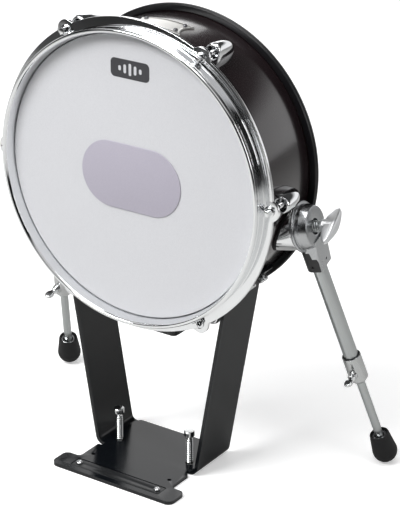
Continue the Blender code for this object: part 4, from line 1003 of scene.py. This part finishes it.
def build_spur_mount(side, pivot):
    bore = STUD_RADIUS + 0.5 * MM
    low, high = BOSS_ROOT, BOSS_END
    drums = [rod("drum", SHELL_RADIUS + grow, -20 * MM, 140 * MM, 0, RING_STEPS)
             for grow in (GAP, 2.6 * MM, 2.6 * MM + GAP)]
    sleeve = [(bore, low), (BOSS_RADIUS, low), (BOSS_RADIUS, high), (bore, high)]
    gasket = add(f"boss_gasket_{side}", lathe("gasket", sleeve, 64, ring=True), pivot @ outward(side))
    carve(gasket, "INTERSECT", (drums[1], drum_matrix()))
    carve(gasket, "DIFFERENCE", (drums[0], drum_matrix()))
    smooth_again(gasket)
    show(gasket, RUBBER, f"spur_gasket_{side}")
    profile = [(bore, low), (BOSS_RADIUS, low), (BOSS_RADIUS, high - 2.2 * MM), (BOSS_RADIUS - 0.6 * MM, high - 1.6 * MM),
               (BOSS_RADIUS - 0.6 * MM, high), (bore, high)]
    boss = add(f"boss_cast_{side}", turned("boss", profile, 0.5 * MM, 96, ring=True), pivot @ outward(side))
    carve(boss, "DIFFERENCE", (drums[2], drum_matrix()))
    smooth_again(boss)
    show(boss, CHROME, f"spur_boss_{side}")


def socket_mesh(side):
    """The block that grips the leg: its outer face slopes inward down the leg, and its long edges are rounded."""
    rings = []
    for reach, outer in zip(SOCKET_REACH, (SOCKET_TOP, SOCKET_BOTTOM)):
        inner = BOSS_END + 2 * GAP
        (front, rear), (front_out, rear_out) = SOCKET_DEPTHS, outer
        corners = [(inner, front), (front_out, front), (rear_out, rear), (inner, rear)]
        outline = soften(corners, [0.8 * MM, 0.9 * MM, 1.6 * MM, 0.8 * MM], 5)
        rings.append([(SIDES[side] * x, y, -reach) for x, y in outline])
    return loft("socket", rings)


def bush_prism(side, grow, low, high):
    """The bush's stepped outline on the socket's front face, from one depth to another."""
    middle = Vector((sum(x for x, _ in BUSH_OUTLINE), sum(z for _, z in BUSH_OUTLINE))) / len(BUSH_OUTLINE)
    outline = []
    for x, reach in BUSH_OUTLINE:
        out = Vector((x, reach)) - middle
        spot = (middle + out * (1 + grow / out.length)) * MM
        outline.append((SIDES[side] * spot.x, -spot.y))
    mesh = prism("bush", soften(outline, 0.9 * MM, 4), -high, -low)
    mesh.transform(Matrix.Rotation(math.radians(90), 4, "X"))
    return mesh


def build_clamp(side, pivot):
    low = BOSS_END + GAP
    bore = STUD_RADIUS + 0.5 * MM
    profile = [(bore, low), (DISC_FLANGE_RADIUS - 0.4 * MM, low), (DISC_FLANGE_RADIUS, low + 0.8 * MM),
               (DISC_FLANGE_RADIUS, low + 1.8 * MM), (DISC_FLANGE_RADIUS - 0.8 * MM, low + 2.6 * MM),
               (23.6 * MM, low + 2.6 * MM), (23.6 * MM, DISC_FACE - 8 * MM), (DISC_FACE_RADIUS, DISC_FACE),
               (WELL_RADIUS, DISC_FACE), (WELL_RADIUS, WELL_FLOOR), (bore, WELL_FLOOR)]
    place = pivot @ outward(side)
    clamp = add(f"clamp_cast_{side}", turned("clamp", profile, 0.5 * MM, 96, ring=True), place)
    carve(clamp, "UNION", (socket_mesh(side), pivot))
    front, far = SOCKET_DEPTHS[0], SOCKET_REACH[1]
    leg_bore = rod("leg_bore", TUBE_RADIUS + 0.4 * MM, -far - 5 * MM, -TUBE_REACH[0] + 1 * MM, 0)
    pin = pivot @ Matrix.Translation((0, 2 * MM, -42 * MM)) @ outward(side)
    tools = [(leg_bore, pivot), (bush_prism(side, 0.4, front - 5 * MM, front + POCKET), pivot),
             (rod("stud_bore", bore, -20 * MM, DISC_FACE, 0, 32), place),
             (rod("well", WELL_RADIUS, WELL_FLOOR, DISC_FACE + 9 * MM, 0), place),
             (rod("pin_hole", 1.4 * MM, 8.6 * MM, 16 * MM, 0, 20), pin)]
    carve(clamp, "DIFFERENCE", *tools)
    smooth_again(clamp)
    show(clamp, CLAMP_CAST, f"spur_clamp_{side}")


def build_bush(side, pivot):
    front = SOCKET_DEPTHS[0]
    bush = add(f"leg_bush_{side}", bush_prism(side, 0, front, front + POCKET - GAP), pivot)
    inner, outer = sorted(SIDES[side] * x for x in BUSH_WRAP)
    wrap = box("wrap", (inner, front, -SOCKET_REACH[1]), (outer, 4 * MM, -BUSH_WRAP_TOP))
    carve(bush, "UNION", (wrap, pivot))
    edge = BUSH_WRAP[0]
    corners = [(edge, front), (20 * MM, front), (20 * MM, 20 * MM), (edge, 20 * MM)]
    rounded = [(SIDES[side] * x, y) for x, y in soften(corners, [BUSH_ROUND, 0, 0, 1 * MM], 12)]
    carve(bush, "INTERSECT", (prism("limit", rounded, -60 * MM, -20 * MM), pivot))
    carve(bush, "DIFFERENCE", (rod("bush_bore", TUBE_RADIUS + 0.4 * MM, -60 * MM, -20 * MM, 0), pivot))
    bevel(bush, 0.4 * MM, 2, 50)
    hole = rod("screw_hole", 1.3 * MM, front - 3 * MM, front + 1.9 * MM, 0, 20)
    forward = Matrix.Translation((0, 0, -43.5 * MM)) @ Matrix.Rotation(math.radians(-90), 4, "X")
    carve(bush, "DIFFERENCE", (hole, pivot @ forward))
    smooth_again(bush)
    show(bush, BUSH_PLASTIC, f"spur_bush_{side}")


def wings(steps=48):
    """A cast butterfly about local Z: rounded four-sided sections swept along X, thick at the hub, thin at the tips."""
    rings = []
    dome = 0.7 * MM
    for i in range(steps + 1):
        share = math.sin((-1 + 2 * i / steps) * math.pi / 2)
        reach = abs(share)
        end = math.sqrt(max(4e-3, 1 - max(0.0, (reach - 0.84) / 0.16) ** 2))
        low, high = (edge + rise * share ** 2 for edge, rise in zip(WING_EDGES, WING_RISE))
        middle = (low + high) / 2
        low, high = middle + (low - middle) * end, middle + (high - middle) * end
        half = WING_HALF_THICKNESS * (1 - 0.72 * (math.sqrt(reach ** 2 + 0.02) - 0.14)) * end
        crisp, blunt = 0.28 * half, 0.62 * half
        outline = soften([(-half, low), (half, low), (half, high), (-half, high)], [blunt, blunt, crisp, crisp], 5)
        rings.append([(WING_HALF_SPAN * share, y, z + dome * end * (z - low) / (high - low) * (1 - (y / half) ** 2))
                      for y, z in outline])
    return loft("wings", rings)


def build_spur_fasteners(side, pivot):
    profile = [(0, STUD_ROOT), (STUD_RADIUS, STUD_ROOT), (STUD_RADIUS, HUB), (6.8 * MM, HUB), (7.6 * MM, HUB + 2.5 * MM),
               (6.4 * MM, HUB + 9 * MM), (5.6 * MM, HUB + 14 * MM), (0, HUB + 14 * MM)]
    place = pivot @ outward(side)
    bolt = add(f"wing_screw_{side}", turned("wing_screw", profile, 1.2 * MM, 48), place)
    tilt = Matrix.Rotation(math.radians(90 + WING_TILT * SIDES[side]), 4, "Z")
    carve(bolt, "UNION", (wings(), place @ tilt))
    smooth_again(bolt, 40)
    show(bolt, WING_CAST, f"wing_bolt_{side}")
    spring = add(f"wing_coil_{side}", coil("coil", 5.4 * MM, 0.8 * MM, 4.5, WELL_FLOOR + GAP, HUB - GAP), place)
    show(spring, TUBE_PLATE, f"wing_spring_{side}")
    low, high = THUMB_HEAD
    seat = low - 2.5 * MM
    shaft, root = 2 * MM, SPUR_ROD_RADIUS + GAP
    profile = [(0, root), (shaft, root), (shaft, seat), (4.2 * MM, seat), (4.2 * MM, low), (2.6 * MM, low + 0.6 * MM),
               (0, low + 0.6 * MM)]
    forward = pivot @ Matrix.Translation((0, 0, -THUMB_REACH)) @ Matrix.Rotation(math.radians(90), 4, "X")
    screw = add(f"thumb_key_{side}", turned("thumb", profile, 0.5 * MM, 40), forward)
    half, waist, neck = THUMB_HALF_WIDTH, 2.6 * MM, 2.5 * MM
    right = [(waist, low - 1 * MM), (waist, low + neck), (half, low + 2 * neck), (half, high)]
    bends = [0, 1.5 * MM, 2.5 * MM, 4 * MM]
    outline = soften(right + [(-x, z) for x, z in reversed(right)], bends + bends[::-1], 6)
    paddle = add("paddle_blank", prism("paddle", outline, -2 * MM, 2 * MM))
    bevel(paddle, 1.1 * MM, 4, 50)
    paddle_mesh = paddle.data
    bpy.data.objects.remove(paddle)
    paddle_mesh.transform(Matrix.Rotation(math.radians(90), 4, "X"))
    carve(screw, "UNION", (paddle_mesh, forward))
    smooth_again(screw, 40)
    show(screw, CHROME, f"thumb_screw_{side}")


def build_leg(side, pivot):
    top, bottom = -TUBE_REACH[0], -TUBE_REACH[1]
    inner = TUBE_RADIUS - TUBE_WALL
    tube_profile = [(inner, bottom), (TUBE_RADIUS, bottom), (TUBE_RADIUS, top), (inner, top)]
    tube = add(f"leg_tube_{side}", turned("tube", tube_profile, 0.4 * MM, 64, ring=True), pivot)
    seat = TUBE_RADIUS + GAP
    rim = TUBE_RADIUS + 1.3 * MM
    collar_top, collar_bottom = -COLLAR_REACH[0], -COLLAR_REACH[1]
    fit = SPUR_ROD_RADIUS + GAP
    wide = COLLAR_RADIUS
    taper = wide - COLLAR_TAPER + 0.5 * MM
    profile = [(fit, collar_bottom), (taper, collar_bottom), (wide, collar_bottom + COLLAR_TAPER), (wide, collar_top),
               (rim, collar_top), (rim, collar_top - 3 * MM), (seat, collar_top - 3.6 * MM), (seat, bottom - GAP),
               (fit, bottom - GAP)]
    collar = add(f"leg_collar_{side}", turned("collar", profile, 0.4 * MM, 96, ring=True), pivot)
    flat = box("flat", (-8 * MM, -20 * MM, collar_bottom - 5 * MM), (8 * MM, -9.6 * MM, collar_top - 5 * MM))
    carve(collar, "DIFFERENCE", (flat, pivot))
    forward = pivot @ Matrix.Translation((0, 0, -THUMB_REACH)) @ Matrix.Rotation(math.radians(90), 4, "X")
    pad = [(2.4 * MM, 8.6 * MM), (5.4 * MM, 8.6 * MM), (5 * MM, 13 * MM), (2.4 * MM, 13 * MM)]
    carve(collar, "UNION", (turned("pad", pad, 0.5 * MM, 40, ring=True), forward))
    tap = rod("tap", 2.4 * MM, 2 * MM, 15 * MM, 0, 24)
    carve(collar, "DIFFERENCE", (tap, forward))
    carve(tube, "DIFFERENCE", (tap, forward))
    for piece in (collar, tube):
        smooth_again(piece)
    show(tube, TUBE_PLATE, f"spur_tube_{side}")
    show(collar, COLLAR_PLATE, f"spur_collar_{side}")
    rod_top, rod_bottom = -ROD_REACH[0], -ROD_REACH[1]
    inner_rod = add(f"leg_rod_{side}", rod("leg_rod", SPUR_ROD_RADIUS, rod_bottom, rod_top, 0.8 * MM, 48), pivot)
    show(inner_rod, TUBE_PLATE, f"spur_rod_{side}")
    build_foot(side, pivot, rod_bottom - GAP, fit)


def build_foot(side, pivot, rod_seat, fit):
    ball = -FOOT_REACH
    rim = ball + FOOT_RIM_RISE
    cup = rim - FOOT_CUP
    wide = FOOT_RIM_RADIUS
    profile = [(0, rod_seat), (fit, rod_seat), (fit, cup), (wide - 2.2 * MM, cup), (wide - 1.7 * MM, rim),
               (wide - 0.4 * MM, rim), (wide, rim - 1.4 * MM)]
    for i in range(16):
        turn = math.radians(12 - 100 * i / 15)
        profile.append((FOOT_RADIUS * math.cos(turn), ball + FOOT_RADIUS * math.sin(turn)))
    profile.append((0, ball - FOOT_RADIUS))
    foot = add(f"foot_rubber_{side}", turned("foot", profile, 0.5 * MM, 72), pivot)
    show(foot, RUBBER, f"rubber_foot_{side}")
    ring = [(fit + 0.6 * MM, cup + 0.1 * MM), (wide - 2.6 * MM, cup + 0.1 * MM), (wide - 2.9 * MM, cup + 1.6 * MM),
            (fit + 0.9 * MM, cup + 1.6 * MM)]
    washer = add(f"foot_washer_{side}", turned("washer", ring, 0.4 * MM, 48, ring=True), pivot)
    washer.data.materials.append(CHROME)
    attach(washer, BODY_OF[f"rubber_foot_{side}"])


def build_spurs():
    for side in SIDES:
        pivot = spur_matrix(side)
        build_spur_mount(side, pivot)
        build_clamp(side, pivot)
        build_bush(side, pivot)
        build_spur_fasteners(side, pivot)
        build_leg(side, pivot)


# ---------------------------------------------------------------- electrics


def build_electrics():
    low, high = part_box("jack_box")
    half, front, rear, floor = high.x, low.y, high.y, low.z
    wall = 2.5 * MM
    outline = soften([(-half, front), (half, front), (half, rear), (-half, rear)], 5 * MM, 8)
    case = add("jack_case", prism("jack_case", outline, floor, high.z + 4 * MM))
    hollow = box("hollow", (-half + wall, front + wall, floor + wall), (half - wall, rear - wall, high.z + 12 * MM))
    jack_low, jack_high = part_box("output_jack")
    middle = (jack_low.z + jack_high.z) / 2
    jack_place = Matrix.Translation((0, rear, middle)) @ Matrix.Rotation(math.radians(-90), 4, "X")
    carve(case, "DIFFERENCE", (hollow, Matrix.Identity(4)),
          (rod("drum", SHELL_RADIUS + GAP, -20 * MM, 140 * MM, 0, RING_STEPS), drum_matrix()),
          (rod("window", 5.6 * MM, -8 * MM, 8 * MM, 0, 40), jack_place))
    bevel(case, 0.8 * MM, 3, 50)
    show(case, BOX_BLACK, "jack_box")
    profile = [(0, -18 * MM), (5.2 * MM, -18 * MM), (5.2 * MM, GAP), (7.5 * MM, GAP), (7.5 * MM, 1.8 * MM), (6.4 * MM, 3 * MM),
               (3.3 * MM, 3 * MM), (3.3 * MM, -14 * MM), (0, -14 * MM)]
    jack = add("jack_socket", turned("jack", profile, 0.3 * MM, 48), jack_place)
    show(jack, CHROME, "output_jack")


def dress_hidden():
    """Nodes inside the shell keep their CAD shape and get their materials."""
    finishes = {"sensor_cushion": FOAM, "sensor_plate": ALUMINIUM, "sensor_bracket": ALUMINIUM, "piezo_disc": BRASS,
                "sensor_cable": RUBBER}
    for node, finish in finishes.items():
        obj = frame["nodes"][node]
        obj.data.materials.clear()
        obj.data.materials.append(finish)


# ---------------------------------------------------------------- studio


def build_floor():
    """A pale floor. Only the camera sees all of it lit: in reflections it wears a painted shade, dimmer overall and
    dark well in front.
    """
    shader = Shader("floor_paint", (0.9, 0.9, 0.9), 0.6)
    cloud = shader.mix(shader.noise(3, 3), (0.89, 0.89, 0.89), (0.91, 0.91, 0.91))
    depth = shader.node("ShaderNodeSeparateXYZ", Vector=shader.place).outputs["Y"]
    # Painted shade: rays other than the camera's see the floor darker, and nearly black well in front
    painted_reflection_shade = shader.mix(shader.spread(depth, 0, 1, *FLOOR_PAINTED_SHADE_FADE), (0.04, 0.04, 0.04), (0.6, 0.6, 0.59))
    seen = shader.node("ShaderNodeLightPath").outputs["Is Camera Ray"]
    shader.paint(shader.mix(seen, painted_reflection_shade, cloud))
    shader.bump(shader.noise(400, 3), 0.05, 0.2 * MM)
    size = 6.0
    level = -0.5 * MM
    corners = [(-size, -size, level), (size, -size, level), (size, size, level), (-size, size, level)]
    floor = add("studio_floor", mesh_from("floor", corners, [[0, 1, 2, 3]]))
    # To the camera the floor glows a little, which lifts it to the pale tone of a lit backdrop
    tree = shader.tree
    glow = shader.node("ShaderNodeEmission", Strength=FLOOR_GLOW)
    total = tree.nodes.new("ShaderNodeAddShader")
    pick = tree.nodes.new("ShaderNodeMixShader")
    output = tree.nodes["Material Output"]
    tree.links.new(shader.bsdf.outputs[0], total.inputs[0])
    tree.links.new(glow.outputs[0], total.inputs[1])
    tree.links.new(seen, pick.inputs[0])
    tree.links.new(shader.bsdf.outputs[0], pick.inputs[1])
    tree.links.new(total.outputs[0], pick.inputs[2])
    tree.links.new(pick.outputs[0], output.inputs["Surface"])
    floor.data.materials.append(shader.material)


def add_light(name, place, target, size, power):
    data = bpy.data.lights.new(name, "AREA")
    data.shape = "RECTANGLE"
    data.size, data.size_y = size
    data.energy = power
    light = bpy.data.objects.new(name, data)
    bpy.context.scene.collection.objects.link(light)
    light.location = place
    aim = Vector(target) - Vector(place)
    light.rotation_euler = aim.to_track_quat("-Z", "Y").to_euler()


def sky_ramp(tree, height, stops):
    ramp = tree.nodes.new("ShaderNodeValToRGB")
    while len(ramp.color_ramp.elements) < len(stops):
        ramp.color_ramp.elements.new(0.5)
    for element, (place, value) in zip(ramp.color_ramp.elements, stops):
        element.position = place
        element.color = (value, value, value * 1.01, 1)
    tree.links.new(height, ramp.inputs["Fac"])
    return ramp.outputs["Color"]


def build_studio():
    """A pale backdrop behind the drum, a dark room with soft panels in front of it, and three area lights."""
    world = bpy.data.worlds.new("studio")
    bpy.context.scene.world = world
    world.use_nodes = True
    tree = world.node_tree
    coordinates = tree.nodes.new("ShaderNodeTexCoord")
    split = tree.nodes.new("ShaderNodeSeparateXYZ")
    tree.links.new(coordinates.outputs["Generated"], split.inputs[0])
    height = tree.nodes.new("ShaderNodeMapRange")
    height.inputs["From Min"].default_value = -1
    tree.links.new(split.outputs["Z"], height.inputs["Value"])
    behind = tree.nodes.new("ShaderNodeMapRange")
    behind.interpolation_type = "SMOOTHSTEP"
    behind.inputs["From Min"].default_value = 0.0
    behind.inputs["From Max"].default_value = 0.35
    tree.links.new(split.outputs["Y"], behind.inputs["Value"])
    mix = tree.nodes.new("ShaderNodeMix")
    mix.data_type = "RGBA"
    tree.links.new(behind.outputs["Result"], mix.inputs[0])
    for socket, stops in ((mix.inputs[6], FRONT_SKY), (mix.inputs[7], REAR_SKY)):
        tree.links.new(sky_ramp(tree, height.outputs["Result"], stops), socket)
    # The camera itself sees the same pale tone all round, from whichever side it looks
    path = tree.nodes.new("ShaderNodeLightPath")
    seen = tree.nodes.new("ShaderNodeMix")
    seen.data_type = "RGBA"
    seen.inputs[7].default_value = (1, 1, 1, 1)
    tree.links.new(path.outputs["Is Camera Ray"], seen.inputs[0])
    tree.links.new(mix.outputs[2], seen.inputs[6])
    background = tree.nodes["Background"]
    tree.links.new(seen.outputs[2], background.inputs["Color"])
    target = (0, 0.03, 0.28)
    for name, (place, size, power) in LIGHTS.items():
        add_light(name, place, target, size, power)
    view = bpy.context.scene.view_settings
    view.view_transform = "Standard"
    view.look = "None"
    view.exposure = 0.0


def build_camera():
    data = bpy.data.cameras.new("camera")
    camera = bpy.data.objects.new("camera", data)
    bpy.context.scene.collection.objects.link(camera)
    azimuth, elevation, roll = CAMERA_AZIMUTH, CAMERA_ELEVATION, CAMERA_ROLL
    back = Vector((math.sin(azimuth) * math.cos(elevation), -math.cos(azimuth) * math.cos(elevation), math.sin(elevation)))
    right = Vector((math.cos(azimuth), math.sin(azimuth), 0))
    up = back.cross(right)
    rolled_right = right * math.cos(roll) + up * math.sin(roll)
    rolled_up = up * math.cos(roll) - right * math.sin(roll)
    turn = Matrix((rolled_right, rolled_up, back)).transposed().to_4x4()
    camera.matrix_world = Matrix.Translation(CAMERA_PLACE) @ turn
    data.sensor_width = 36
    data.lens = CAMERA_LENS
    data.shift_x, data.shift_y = CAMERA_SHIFT
    data.clip_start = 0.05
    data.clip_end = 50
    bpy.context.scene.camera = camera


def main():
    build_shell()
    build_back()
    build_hoop()
    build_head()
    build_patch()
    build_print()
    build_lugs()
    build_rods()
    build_badge()
    build_stand()
    build_pedal_plate()
    build_frame_bolts()
    build_anchor_bolts()
    build_spurs()
    build_electrics()
    dress_hidden()
    build_floor()
    build_studio()
    build_camera()


main()
